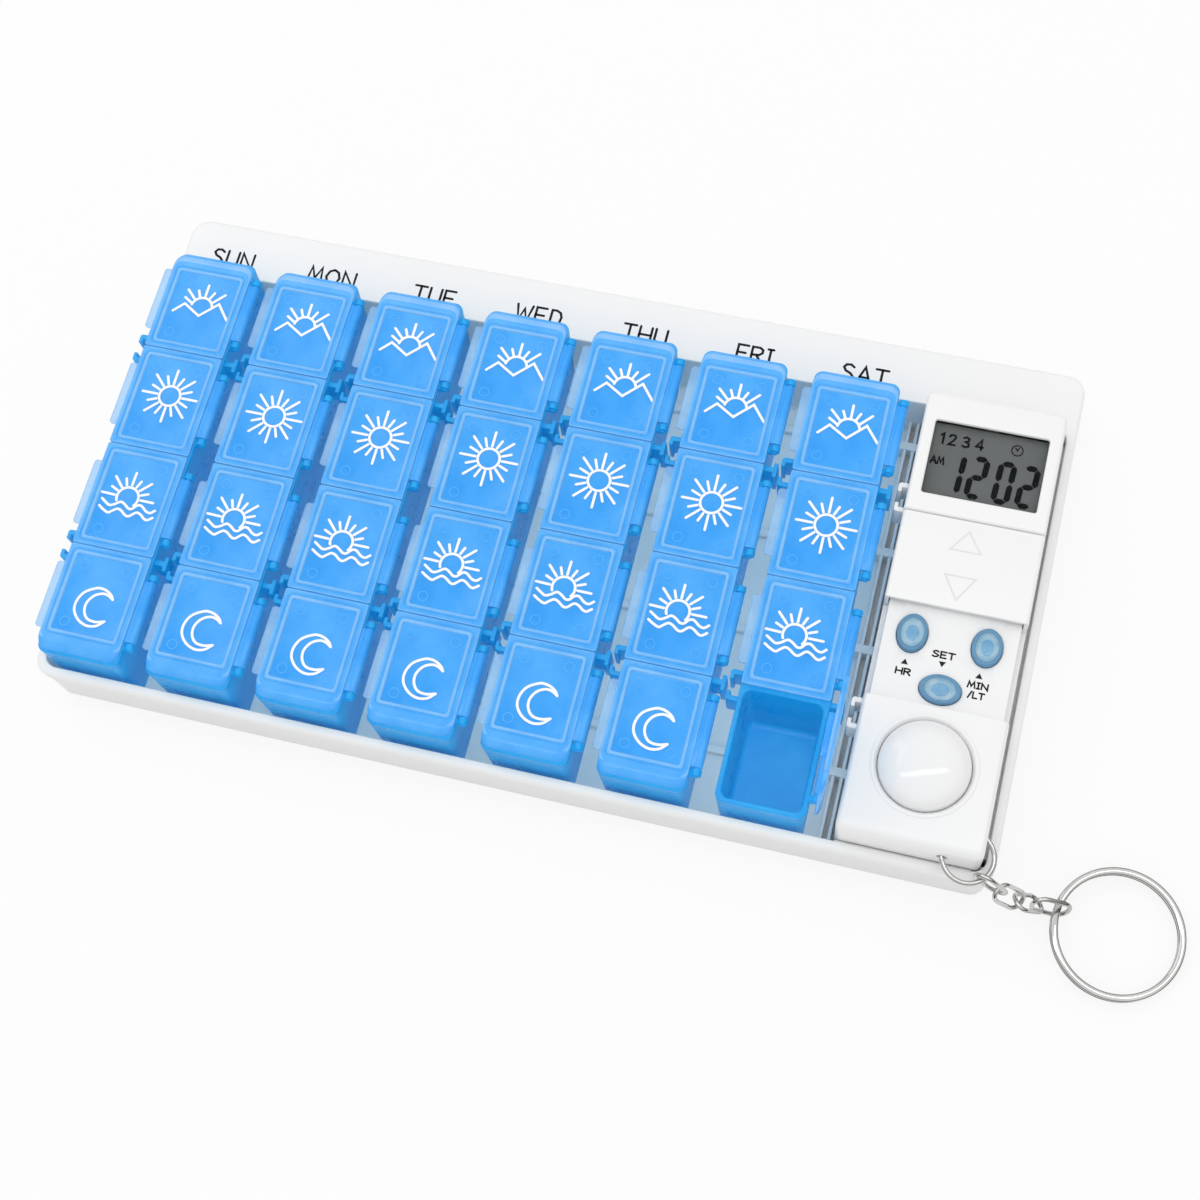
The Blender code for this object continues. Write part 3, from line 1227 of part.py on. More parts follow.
def make_links():
    """Each link starts round the wire before it; gives where the last one ends."""
    pivot = loop_exit()
    wire_before = LOOP_WIRE
    for index, share in enumerate(LINK_PITCH_SHARES):
        pitch = share * LINK_PITCH
        back = wire_before + LINK_GAP + LINK_WIRE
        length = pitch + back
        outline = stadium(length, LINK_WIDTH_SHARES[index] * LINK_HALF_WIDTH, LINK_ARC_POINTS)
        points = [point - Vector((back, 0.0, 0.0)) for point in outline]
        link = wire_object(f"chain_link_{index + 1}", points, LINK_WIRE, resolution=1)
        link.matrix_world = link_frame(index, pivot)
        pivot = pivot + link_direction(index) * pitch
        wire_before = LINK_WIRE
    return pivot


def make_key_ring(last_end):
    """A flat split ring: two layers of band that step past each other at one place."""
    steps = int(RING_POINTS_PER_TURN * KEY_RING_TURNS)
    rise = KEY_RING_LAYER + KEY_RING_LAYER_GAP
    points = []
    for step in range(steps + 1):
        turn = step / RING_POINTS_PER_TURN
        angle = FULL_TURN * turn + HALF_TURN / 2
        middle = KEY_RING_TURNS / 2
        climb = min(max((turn - middle) * RING_POINTS_PER_TURN / 2 + 1.0 / 2, 0.0), 1.0)
        points.append(Vector((
            KEY_RING_RADIUS * math.cos(angle), KEY_RING_RADIUS * math.sin(angle), rise * (climb - 1.0 / 2)
        )))
    section = bpy.data.curves.new("band_section", "CURVE")
    section.dimensions = "2D"
    spline = section.splines.new("POLY")
    spline.points.add(BAND_POINTS - 1)
    for index, point in enumerate(spline.points):
        angle = FULL_TURN * (index + 1.0 / 2) / BAND_POINTS
        point.co = (KEY_RING_BAND / 2 * math.cos(angle), KEY_RING_LAYER / 2 * math.sin(angle), 0.0, 1.0)
    spline.use_cyclic_u = True
    guide = wire_object("ring_guide", points, 0.0, cyclic=False)
    guide.data.bevel_mode = "OBJECT"
    guide.data.bevel_object = as_tool(link_object("band_section", section, CUTTERS))
    guide.data.twist_mode = "Z_UP"
    ring = welded_copy(guide, "split_key_ring", PARTS)
    level = Vector((math.cos(KEY_RING_HEADING), math.sin(KEY_RING_HEADING), 0.0))
    inside = last_end - link_direction(len(LINK_PITCH_SHARES) - 1) * KEY_RING_FROM_LINK_END
    rest = KEY_RING_LAYER + KEY_RING_LAYER_GAP
    tilt = math.asin((inside.z - rest) / (2 * KEY_RING_RADIUS))
    centre = inside + level * KEY_RING_RADIUS * math.cos(tilt)
    centre.z = (inside.z + rest) / 2
    turn = Matrix.Rotation(KEY_RING_HEADING, 4, "Z") @ Matrix.Rotation(tilt, 4, "Y")
    ring.matrix_world = Matrix.Translation(centre) @ turn


make_tray()
make_strips()
make_lower_case()
make_upper_case()
make_slide_cover()
for button_name in BUTTON_NAMES:
    make_button(button_name)
make_dome_button()
make_display()
make_circuit_board()
make_screws()
make_board_parts()
make_battery()
make_loop()
make_key_ring(make_links())
for part in PARTS.objects:
    if part.type == "MESH":
        smooth_round_faces(part.data)
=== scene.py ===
"""Dresses the pill organizer's frame for its picture: fine shapes, finishes, light and camera.

Shapes are written in millimetres in the frame's axes and become metres when a mesh is made.
"""

import json
from math import asin, copysign, cos, hypot, pi, radians, sin, sqrt

import bmesh
import bpy
from mathutils import Matrix, Vector


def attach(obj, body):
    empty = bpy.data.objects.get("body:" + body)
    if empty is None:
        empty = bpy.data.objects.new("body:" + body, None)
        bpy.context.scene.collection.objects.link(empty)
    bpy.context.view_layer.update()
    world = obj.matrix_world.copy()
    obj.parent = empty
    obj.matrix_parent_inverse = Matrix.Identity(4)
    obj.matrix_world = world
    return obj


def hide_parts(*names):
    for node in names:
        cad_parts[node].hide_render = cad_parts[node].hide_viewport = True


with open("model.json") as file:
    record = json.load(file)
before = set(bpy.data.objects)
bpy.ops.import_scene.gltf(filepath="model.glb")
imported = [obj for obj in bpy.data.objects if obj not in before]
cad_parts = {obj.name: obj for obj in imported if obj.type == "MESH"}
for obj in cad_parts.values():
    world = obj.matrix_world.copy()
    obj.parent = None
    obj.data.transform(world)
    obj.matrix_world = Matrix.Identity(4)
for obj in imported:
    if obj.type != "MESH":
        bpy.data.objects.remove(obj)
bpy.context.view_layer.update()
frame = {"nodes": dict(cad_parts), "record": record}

MM = 0.001
QUARTER = pi / 2
TURN = 2 * pi
UP = Vector((0, 0, 1))
SCENE = bpy.context.scene

# Places repeated from the CAD part, in millimetres
DAYS = ("sunday", "monday", "tuesday", "wednesday", "thursday", "friday", "saturday")
DOSES = ("morning", "noon", "evening", "night")
STRIP_X = [-100.5 + 27.0 * index for index in range(len(DAYS))]
STRIP_Y = -6.25
CELL_PITCH = 26.825
ROW_Y = [STRIP_Y + (1.5 - row) * CELL_PITCH for row in range(len(DOSES))]
SEAT = 3.8
AXIS_X, AXIS_Z = 11.8, 26.4
OPEN_LID = "saturday_night_lid"
OPEN_ANGLE = radians(92)
CLOCK_BOX = (78.3, -60.6, 111.0, 47.8)
CLOCK_X = 94.65
CLOCK_TOP = 26.4
DOME_Y = -42.5


# Node materials
def add(tree, kind, settings=None, **inputs):
    """Adds one shader node; inputs are values or the sockets that feed them."""
    made = tree.nodes.new("ShaderNode" + kind)
    for key, value in (settings or {}).items():
        setattr(made, key, value)
    for key, value in inputs.items():
        place = int(key[1:]) if key[0] == "i" and key[1:].isdigit() else key.replace("_", " ")
        if isinstance(value, bpy.types.NodeSocket):
            tree.links.new(value, made.inputs[place])
        else:
            made.inputs[place].default_value = value
    return made


def start_material(name):
    """Makes an empty node material and gives its object coordinates."""
    material = bpy.data.materials.new(name)
    material.use_nodes = True
    tree = material.node_tree
    tree.nodes.clear()
    return material, tree, add(tree, "TexCoord").outputs["Object"]


def noise(tree, place, scale, detail=3.0, rough=0.55):
    """Noise between 0 and 1, in features of about one part in scale of a metre."""
    return add(tree, "TexNoise", Vector=place, Scale=scale, Detail=detail, Roughness=rough).outputs["Fac"]


def spread(tree, value, low, high):
    """Stretches the middle of a noise to a range."""
    return add(tree, "MapRange", i0=value, i1=0.3, i2=0.7, i3=low, i4=high).outputs[0]


def blend_colour(tree, share, first, second):
    """Mixes two colours by a share."""
    mix = add(tree, "Mix", {"data_type": "RGBA"}, Factor=share)
    mix.inputs[6].default_value = (*first, 1.0)
    mix.inputs[7].default_value = (*second, 1.0)
    return mix.outputs[2]


def reckoned(tree, operation, *values):
    """One sum on values or sockets."""
    inputs = {f"i{index}": value for index, value in enumerate(values)}
    return add(tree, "Math", {"operation": operation}, **inputs).outputs[0]


def mixed(tree, share, first, second):
    """Mixes two shaders by a share."""
    return add(tree, "MixShader", i0=share, i1=first.outputs[0], i2=second.outputs[0])


def bumped(tree, place, grain, strength, wave=0.0):
    """A surface normal with fine moulded grain and, if asked, slow waves."""
    height = noise(tree, place, grain, 4.0)
    normal = add(tree, "Bump", Strength=strength, Distance=0.0001, Height=height).outputs[0]
    if wave:
        slow = noise(tree, place, 120.0, 1.0)
        normal = add(tree, "Bump", Strength=wave, Distance=0.0004, Height=slow, Normal=normal).outputs[0]
    return normal


def solid_finish(name, first, second, rough, bump=0.1, wave=0.0, patch=90.0, **more):
    """An opaque finish whose colour and roughness drift over the surface, with a fine bump if asked."""
    material, tree, place = start_material(name)
    drift = noise(tree, place, patch)
    if bump:
        more["Normal"] = bumped(tree, place, 3000.0, bump, wave)
    shader = add(
        tree, "BsdfPrincipled",
        Base_Color=blend_colour(tree, spread(tree, drift, 0.0, 1.0), first, second),
        Roughness=spread(tree, noise(tree, place, patch * 6), *rough), **more,
    )
    add(tree, "OutputMaterial", Surface=shader.outputs[0])
    return material


def clear_finish(name, first, second, tint, solid, rough, glow=0.0, ease=0.0, patch=110.0):
    """A tinted see-through moulding with milky patches; glow is the share of light that soaks through it.

    Ease makes it clearer to shadow and diffuse rays, so that light gets in as it does in the real plastic.
    """
    material, tree, place = start_material(name)
    drift = noise(tree, place, patch, 4.0)
    colour = blend_colour(tree, spread(tree, drift, 0.0, 1.0), first, second)
    normal = bumped(tree, place, 60.0, 0.02)
    body = add(
        tree, "BsdfPrincipled", Base_Color=colour, Normal=normal,
        Roughness=spread(tree, noise(tree, place, patch), *rough),
    )
    if glow:
        body = mixed(tree, glow, body, add(tree, "BsdfTranslucent", Color=colour, Normal=normal))
    share = spread(tree, drift, *solid)
    if ease:
        path = add(tree, "LightPath").outputs
        soft = reckoned(tree, "MAXIMUM", path["Is Shadow Ray"], path["Is Diffuse Ray"])
        share = reckoned(tree, "MULTIPLY", share, reckoned(tree, "MULTIPLY_ADD", soft, -ease, 1.0))
    through = add(tree, "BsdfTransparent", Color=(*tint, 1.0))
    add(tree, "OutputMaterial", Surface=mixed(tree, share, through, body).outputs[0])
    return material


def grey(level):
    """An even grey."""
    return (level,) * 3


WHITE = solid_finish("white_moulding", grey(0.838), grey(0.848), (0.29, 0.31), patch=30.0, bump=0.0)
GLOSS = solid_finish("white_gloss_dome", grey(0.83), grey(0.84), (0.07, 0.09), patch=30.0, bump=0.0)
# A grey painted on the cover's embossed arrow outlines as the shade along their edges.
ARROW_SHADE = solid_finish("arrow_painted_shade", grey(0.70), grey(0.74), (0.30, 0.40), bump=0.0)
PRINT = solid_finish("white_print", grey(0.90), grey(0.94), (0.45, 0.55))
INK = solid_finish(
    "dark_print", (0.007, 0.007, 0.008), (0.013, 0.013, 0.015), (0.45, 0.60), 0.02, Specular_IOR_Level=0.2
)
# Blue mouldings: red and green of two colours and of the light let through, then how solid, rough and aglow
BLUE, LID, FRAME, RIDGE_HIGHLIGHT, TAB, END_HIGHLIGHT = (
    clear_finish("blue_" + name, *((*pair, 1.0) for pair in pairs), solid, rough, glow, 0.92, patch)
    for name, pairs, solid, rough, glow, patch in (
        ("moulding", ((0.0, 0.42), (0.02, 0.48), (0.84, 0.95)), (0.76, 0.86), (0.26, 0.32), 0.2, 110.0),
        ("lid_window", ((0.025, 0.385), (0.08, 0.45), (0.85, 0.94)), (0.62, 0.80), (0.12, 0.20), 0.06, 75.0),
        ("lid_frame", ((0.06, 0.42), (0.12, 0.49), (0.87, 0.95)), (0.74, 0.86), (0.12, 0.20), 0.08, 110.0),
        # The ridge finish is a lighter blue that paints highlights on the lids' ridges and the rounded tops
        # of their outer edges.
        ("lid_ridge_highlight", ((0.20, 0.54), (0.28, 0.61), (0.90, 0.96)), (0.74, 0.86), (0.10, 0.16), 0.1, 110.0),
        ("lid_tab", ((0.34, 0.62), (0.42, 0.70), (0.86, 0.94)), (0.40, 0.52), (0.12, 0.20), 0.15, 110.0),
        # The end finish is a lighter blue that paints a highlight band on the morning lids' long far end.
        ("lid_end_highlight", ((0.22, 0.54), (0.32, 0.61), (0.90, 0.96)), (0.80, 0.90), (0.10, 0.16), 0.1, 110.0),
    )
)
# The rim is the buttons' plain blue; the dish's ring and middle are lighter blues painted as the dish's
# highlights, the ring lightest.
BUTTON, DISH_RING_HIGHLIGHT, DISH_MIDDLE_HIGHLIGHT = (
    solid_finish("blue_button_" + name, first, second, rough, bump=0.0, patch=patch)
    for name, first, second, rough, patch in (
        ("rim", (0.085, 0.235, 0.40), (0.12, 0.29, 0.47), (0.14, 0.20), 90.0),
        ("dish", (0.22, 0.42, 0.57), (0.38, 0.54, 0.64), (0.07, 0.11), 420.0),
        ("middle", (0.11, 0.32, 0.54), (0.20, 0.42, 0.61), (0.08, 0.12), 420.0),
    )
)
LENS = clear_finish(
    "clear_window", (0.010, 0.012, 0.012), (0.020, 0.022, 0.022), (0.99, 1.0, 1.0), (0.02, 0.04), (0.03, 0.06)
)
DISPLAY = solid_finish(
    "display_panel", (0.142, 0.146, 0.146), (0.160, 0.164, 0.164), (0.30, 0.42), 0.03, Specular_IOR_Level=0.1
)
DIGIT = solid_finish(
    "display_digit", (0.004, 0.005, 0.006), (0.007, 0.009, 0.010), (0.35, 0.45), 0.03, Specular_IOR_Level=0.05
)
BOARD = solid_finish("board_resist", (0.018, 0.15, 0.06), (0.035, 0.21, 0.09), (0.30, 0.45))
STEEL = solid_finish(
    "nickel_wire", (0.50, 0.495, 0.485), (0.62, 0.615, 0.605), (0.05, 0.11), 0.01, 0.03, Metallic=1.0
)
BRASS = solid_finish("brass_sheet", (0.58, 0.42, 0.17), (0.66, 0.48, 0.21), (0.22, 0.34), 0.08, Metallic=1.0)
LAMP = clear_finish(
    "red_lamp", (0.62, 0.03, 0.02), (0.72, 0.06, 0.04), (1.0, 0.25, 0.2), (0.7, 0.85), (0.10, 0.18)
)
SLOT_FINISHES = {
    "white_plastic": WHITE, "blue_plastic": BLUE, "button_blue": BUTTON, "dome_white": GLOSS,
    "clear_plastic": LENS, "display_grey": DISPLAY, "board_green": BOARD, "bright_steel": STEEL,
    "brass": BRASS, "lamp_red": LAMP,
}


# Mesh building
def rounded(box, radii, z, steps=6):
    """A level rounded rectangle, as points round it; box is low X, low Y, high X, high Y."""
    if not isinstance(radii, tuple):
        radii = (radii,) * 4
    x0, y0, x1, y1 = box
    corners = ((x1, y1, 1, 1), (x0, y1, -1, 1), (x0, y0, -1, -1), (x1, y0, 1, -1))
    points = []
    for index, ((x, y, side_x, side_y), radius) in enumerate(zip(corners, radii)):
        for step in range(steps + 1):
            angle = QUARTER * (index + step / steps)
            points.append((x + radius * (cos(angle) - side_x), y + radius * (sin(angle) - side_y), z))
    return points


def inset(box, sides, ends=None):
    """Draws a box in by sides in X and by ends in Y."""
    ends = sides if ends is None else ends
    return box[0] + sides, box[1] + ends, box[2] - sides, box[3] - ends


def around(radius, angle, centre=(0.0, 0.0)):
    """The point at a radius and an angle from a centre."""
    return centre[0] + radius * cos(angle), centre[1] + radius * sin(angle)


def circle(centre, radius, z, steps=48, squash=1.0):
    """A level circle or oval of points."""
    x, y = centre
    angles = [TURN * step / steps for step in range(steps)]
    return [(x + radius * cos(angle), y + squash * radius * sin(angle), z) for angle in angles]


def circle_2d(centre, radius, steps):
    """A circle of flat points."""
    return [(x, y) for x, y, _ in circle(centre, radius, 0.0, steps)]


def arc(centre, radius, first, last, steps):
    """Points along a circle between two angles in degrees."""
    angles = [radians(first + (last - first) * step / steps) for step in range(steps + 1)]
    return [around(radius, angle, centre) for angle in angles]


def loft(bm, loops, start=True, end=True):
    """Joins loops of points with quads, and closes the first and last if asked."""
    rings = [[bm.verts.new(point) for point in points] for points in loops]
    for low, high in zip(rings, rings[1:]):
        for index in range(len(low)):
            after = (index + 1) % len(low)
            bm.faces.new((low[index], low[after], high[after], high[index]))
    if start:
        bm.faces.new(list(reversed(rings[0])))
    if end:
        bm.faces.new(rings[-1])
    return rings


def fill(bm, *rings):
    """Fills the flat face between an outer ring of vertices and the holes in it."""
    edges = []
    for ring in rings:
        for first, second in zip(ring, ring[1:] + ring[:1]):
            edges.append(bm.edges.get((first, second)) or bm.edges.new((first, second)))
    bmesh.ops.triangle_fill(bm, use_beauty=True, edges=edges)


def corner_profile(radius, steps=4):
    """How far a rounded edge is drawn in at each drop below its top, from low to high."""
    angles = [QUARTER * step / steps for step in range(steps + 1)]
    return [(radius * (1 - sin(angle)), radius * (1 - cos(angle))) for angle in angles]


def block(bm, box, radii, low, high, top=0.2, foot=0.0):
    """Adds a box with rounded upright edges, a rounded top edge and, if asked, a rounded foot."""
    radii = radii if isinstance(radii, tuple) else (radii,) * 4
    levels = [(low + drop, draw) for drop, draw in reversed(corner_profile(foot))] if foot else [(low, 0.0)]
    levels += [(high - drop, draw) for drop, draw in corner_profile(top)]
    loft(bm, [
        rounded(inset(box, draw), tuple(max(radius - draw, 0.02) for radius in radii), z)
        for z, draw in levels
    ])


def walls(box, corner, profile, steps, share=1.0):
    """Loops of a wall given as heights and how far it is drawn in there."""
    return [rounded(inset(box, draw), corner - share * draw, z, steps) for z, draw in profile]


def lathe(bm, profile, centre, steps=64, squash=1.0):
    """Turns radius and height points about an upright axis."""
    loft(bm, [circle(centre, max(radius, 0.02), z, steps, squash) for radius, z in profile])


def prism(bm, outline, low, high, edge=0.1, holes=(), matrix=None, segments=2):
    """Adds an extruded outline with softened edges, laid in place by a matrix."""
    part = bmesh.new()
    rims = []
    for points in (outline, *holes):
        rims.append(loft(part, [[(x, y, z) for x, y in points] for z in (low, high)], False, False))
    for level in (0, 1):
        fill(part, *(ring[level] for ring in rims))
    bmesh.ops.recalc_face_normals(part, faces=part.faces)
    if edge:
        corner = radians(30)
        sharp = [item for item in part.edges if item.is_manifold and item.calc_face_angle() > corner]
        bmesh.ops.bevel(part, geom=sharp, offset=edge, segments=segments, profile=0.5, affect="EDGES")
    if matrix is not None:
        part.transform(matrix)
    merge(bm, part)


def merge(bm, part):
    """Adds one bmesh to another."""
    mesh = bpy.data.meshes.new("merge")
    part.to_mesh(mesh)
    part.free()
    bm.from_mesh(mesh)
    bpy.data.meshes.remove(mesh)


def oblong(x0, y0, x1, y1):
    """The four corners of a rectangle."""
    return [(x0, y0), (x1, y0), (x1, y1), (x0, y1)]


def paint_from(bm, start, paint):
    """Gives the faces made since a face count one material."""
    bm.faces.ensure_lookup_table()
    for index in range(start, len(bm.faces)):
        bm.faces[index].material_index = paint


def stroke(bm, points, width, low, high, closed=False, paint=1):
    """Adds a flat printed line through points, with round ends."""
    half = width / 2
    points = [Vector(point) for point in points]
    count = len(points)
    left, right = [], []
    for index, point in enumerate(points):
        before = points[index - 1] if index or closed else None
        after = points[(index + 1) % count] if index < count - 1 or closed else None
        first = (point - before).normalized() if before is not None else (after - point).normalized()
        second = (after - point).normalized() if after is not None else first
        across = (first + second).orthogonal().normalized()
        reach = half / max(across.dot(first.orthogonal().normalized()), 0.4)
        left.append(point + across * reach)
        right.append(point - across * reach)
    faces_before = len(bm.faces)
    if closed:
        sides = ((left, low), (left, high), (right, high), (right, low))
        rings = [[bm.verts.new((p.x, p.y, z)) for p in side] for side, z in sides]
        for near, far in zip(rings, rings[1:] + rings[:1]):
            for index in range(count):
                after = (index + 1) % count
                bm.faces.new((near[index], near[after], far[after], far[index]))
    else:
        def cap(point, direction):
            turned = [direction.copy() for _ in range(5)]
            for step, arm in enumerate(turned):
                arm.rotate(Matrix.Rotation(pi * (step + 1) / 6 - QUARTER, 2))
            return [point + arm * half for arm in turned]

        start = (points[0] - points[1]).normalized()
        end = (points[-1] - points[-2]).normalized()
        outline = left + cap(points[-1], end)[::-1] + right[::-1] + cap(points[0], start)[::-1]
        loft(bm, [[(p.x, p.y, z) for p in outline] for z in (low, high)])
    paint_from(bm, faces_before, paint)


def finished(bm, name, *materials, angle=32):
    """Turns a bmesh in millimetres into a shaded mesh in metres."""
    bmesh.ops.recalc_face_normals(bm, faces=bm.faces)
    bmesh.ops.scale(bm, vec=(MM, MM, MM), verts=bm.verts)
    mesh = bpy.data.meshes.new(name)
    bm.to_mesh(mesh)
    bm.free()
    for material in materials:
        mesh.materials.append(material)
    mesh.shade_smooth()
    mesh.set_sharp_from_angle(angle=radians(angle))
    return mesh


def combined(bm, tool, operation):
    """Joins or cuts one bmesh with another exactly; both are used up."""
    items = []
    for source in (bm, tool):
        bmesh.ops.recalc_face_normals(source, faces=source.faces)
        mesh = bpy.data.meshes.new("step")
        source.to_mesh(mesh)
        source.free()
        item = bpy.data.objects.new("step", mesh)
        SCENE.collection.objects.link(item)
        items.append(item)
    modifier = items[0].modifiers.new("step", "BOOLEAN")
    modifier.operation, modifier.solver, modifier.object = operation, "EXACT", items[1]
    result = bmesh.new()
    result.from_object(items[0], bpy.context.evaluated_depsgraph_get())
    for item in items:
        mesh = item.data
        bpy.data.objects.remove(item)
        bpy.data.meshes.remove(mesh)
    return result


def piece(name, mesh, body, nodes, matrix=None):
    """Puts a mesh in the scene as one piece that rides on a body."""
    item = bpy.data.objects.new(name, mesh)
    SCENE.collection.objects.link(item)
    if matrix is not None:
        item.matrix_world = matrix
    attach(item, body)
    if nodes:
        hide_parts(*nodes)
    return item


def moved(x, y, z):
    """A shift in millimetres."""
    return Matrix.Translation((x * MM, y * MM, z * MM))


# Plain letters as strokes, six units high
GLYPHS = {
    "A": (4.2, [(0, 0), (2.1, 6), (4.2, 0)], [(0.8, 2.0), (3.4, 2.0)]),
    "D": (3.9, [(0.4, 0), (0.4, 6), (2.0, 6), (3.3, 5.3), (3.9, 3.6), (3.6, 1.6), (2.4, 0.3), (0.4, 0)]),
    "E": (3.4, [(3.4, 6), (0, 6), (0, 0), (3.4, 0)], [(0, 3.1), (2.8, 3.1)]),
    "F": (3.3, [(3.3, 6), (0, 6), (0, 0)], [(0, 3.1), (2.7, 3.1)]),
    "H": (3.9, [(0, 0), (0, 6)], [(3.9, 0), (3.9, 6)], [(0, 3), (3.9, 3)]),
    "I": (1.8, [(0, 6), (1.8, 6)], [(0, 0), (1.8, 0)], [(0.9, 0), (0.9, 6)]),
    "L": (3.0, [(0, 6), (0, 0), (3.0, 0)]),
    "M": (4.8, [(0, 0), (0.7, 6), (2.4, 1.4), (4.1, 6), (4.8, 0)]),
    "N": (4.0, [(0, 0), (0, 6), (4.0, 0), (4.0, 6)]),
    "O": (4.6, [(2.3, 6), (0.8, 5.2), (0, 3), (0.8, 0.8), (2.3, 0), (3.8, 0.8), (4.6, 3), (3.8, 5.2),
                (2.3, 6)]),
    "R": (3.7, [(0, 0), (0, 6), (2.4, 6), (3.4, 5.3), (3.4, 4.1), (2.4, 3.2), (0, 3.0)],
          [(1.6, 3.1), (3.7, 0)]),
    "S": (3.7, [(3.5, 5.2), (2.4, 6), (1.0, 5.8), (0.3, 4.7), (1.0, 3.5), (2.7, 2.7), (3.6, 1.6), (2.8, 0.4),
                (1.2, 0), (0, 0.8)]),
    "T": (4.0, [(0, 6), (4.0, 6)], [(2.0, 6), (2.0, 0)]),
    "U": (3.8, [(0, 6), (0, 1.9), (0.7, 0.5), (1.9, 0), (3.1, 0.5), (3.8, 1.9), (3.8, 6)]),
    "W": (5.2, [(0, 6), (1.2, 0), (2.6, 4.6), (4.0, 0), (5.2, 6)]),
    "/": (2.2, [(0, -0.4), (2.2, 6.4)]),
    "1": (1.6, [(0, 4.8), (1.4, 6), (1.4, 0)]),
    "2": (3.4, [(0, 4.6), (0.5, 5.7), (1.7, 6), (3.0, 5.5), (3.2, 4.3), (2.5, 3.0), (0, 0), (3.4, 0)]),
    "3": (3.3, [(0.1, 5.4), (1.6, 6), (3.0, 5.2), (2.9, 3.9), (1.4, 3.2), (3.1, 2.4), (3.2, 0.9), (1.6, 0),
                (0, 0.6)]),
    "4": (3.6, [(2.7, 0), (2.7, 6), (0, 1.7), (3.6, 1.7)]),
}
LETTER_HEIGHT, LETTER_GAP = 6, 1.35


def write(bm, word, centre, size, width, low, high, stretch=1.0, paint=1):
    """Prints a word, centred on a point; size is the letters' height."""
    unit = size / LETTER_HEIGHT
    total = sum(GLYPHS[letter][0] for letter in word) + LETTER_GAP * (len(word) - 1)
    x = centre[0] - total * unit * stretch / 2
    y = centre[1] - size / 2
    for letter in word:
        across, *lines = GLYPHS[letter]
        for line in lines:
            points = [(x + a * unit * stretch, y + b * unit) for a, b in line]
            stroke(bm, points, width, low, high, paint=paint)
        x += (across + LETTER_GAP) * unit * stretch


# Tray
TRAY_BOX = (-114.3, -63.3, 114.3, 63.3)
POCKET_BOX = (-112.0, -61.0, 112.0, 48.7)
HOLLOW_BOX = (-112.0, 50.7, 112.0, 61.0)
TRAY_WALL = (
    (0.0, 1.7), (0.25, 1.1), (0.8, 0.8), (13.6, 0.5), (13.9, 0.42), (14.25, 0.1), (14.55, 0.0), (16.1, 0.0),
    (16.5, 0.1), (16.8, 0.38), (16.95, 0.75), (17.0, 1.1),
)
POCKET_WALL = (
    (17.0, -0.45), (16.93, -0.2), (16.75, -0.05), (16.45, 0.0), (3.2, 0.0), (2.5, 0.2), (2.1, 0.6),
    (2.0, 1.2),
)
HOLLOW_WALL = ((0.0, -0.15), (0.15, 0.0), (14.2, 0.3), (14.8, 0.5), (15.0, 1.1))
TRAY_CORNER, POCKET_CORNER = 4.6, 3.0
FLOOR_SEAT = 1.8
REACH_X, REACH_FRONT, REACH_BACK = 112.2, -61.2, 48.9
RIB_Y = (-42.351, -11.635, 13.596, 42.118)
RIB_HALF, RIB_TOP = 1.0, 3.5
RAIL_X, RAIL_HALF, RAIL_TOP = (75.0, 76.98), 0.4, 6.0
BRIDGE_X, BRIDGE_HALF, BRIDGE_TOP = (72.3, 77.9), 1.1, 6.3
SIDE_LEDGE, SIDE_LEDGE_TOP = (111.2, -57.0, REACH_X, 46.0), 13.8
FRONT_LEDGE, FRONT_LEDGE_TOP = (78.6, REACH_FRONT, 109.2, -60.74), 16.5
CORNER_MIDDLE, CORNER_ROUND = (109.2, -58.8), 1.95
HOLLOW_BAYS, HOLLOW_RIB_HALF = 11, 0.75
DAY_WORDS = ("SUN", "MON", "TUE", "WED", "THU", "FRI", "SAT")
DAY_X = (-101.1, -74.4, -47.2, -19.9, 7.3, 35.0, 62.2)
DAY_Y, DAY_SIZE, DAY_WIDTH = 53.4, 4.3, 0.62


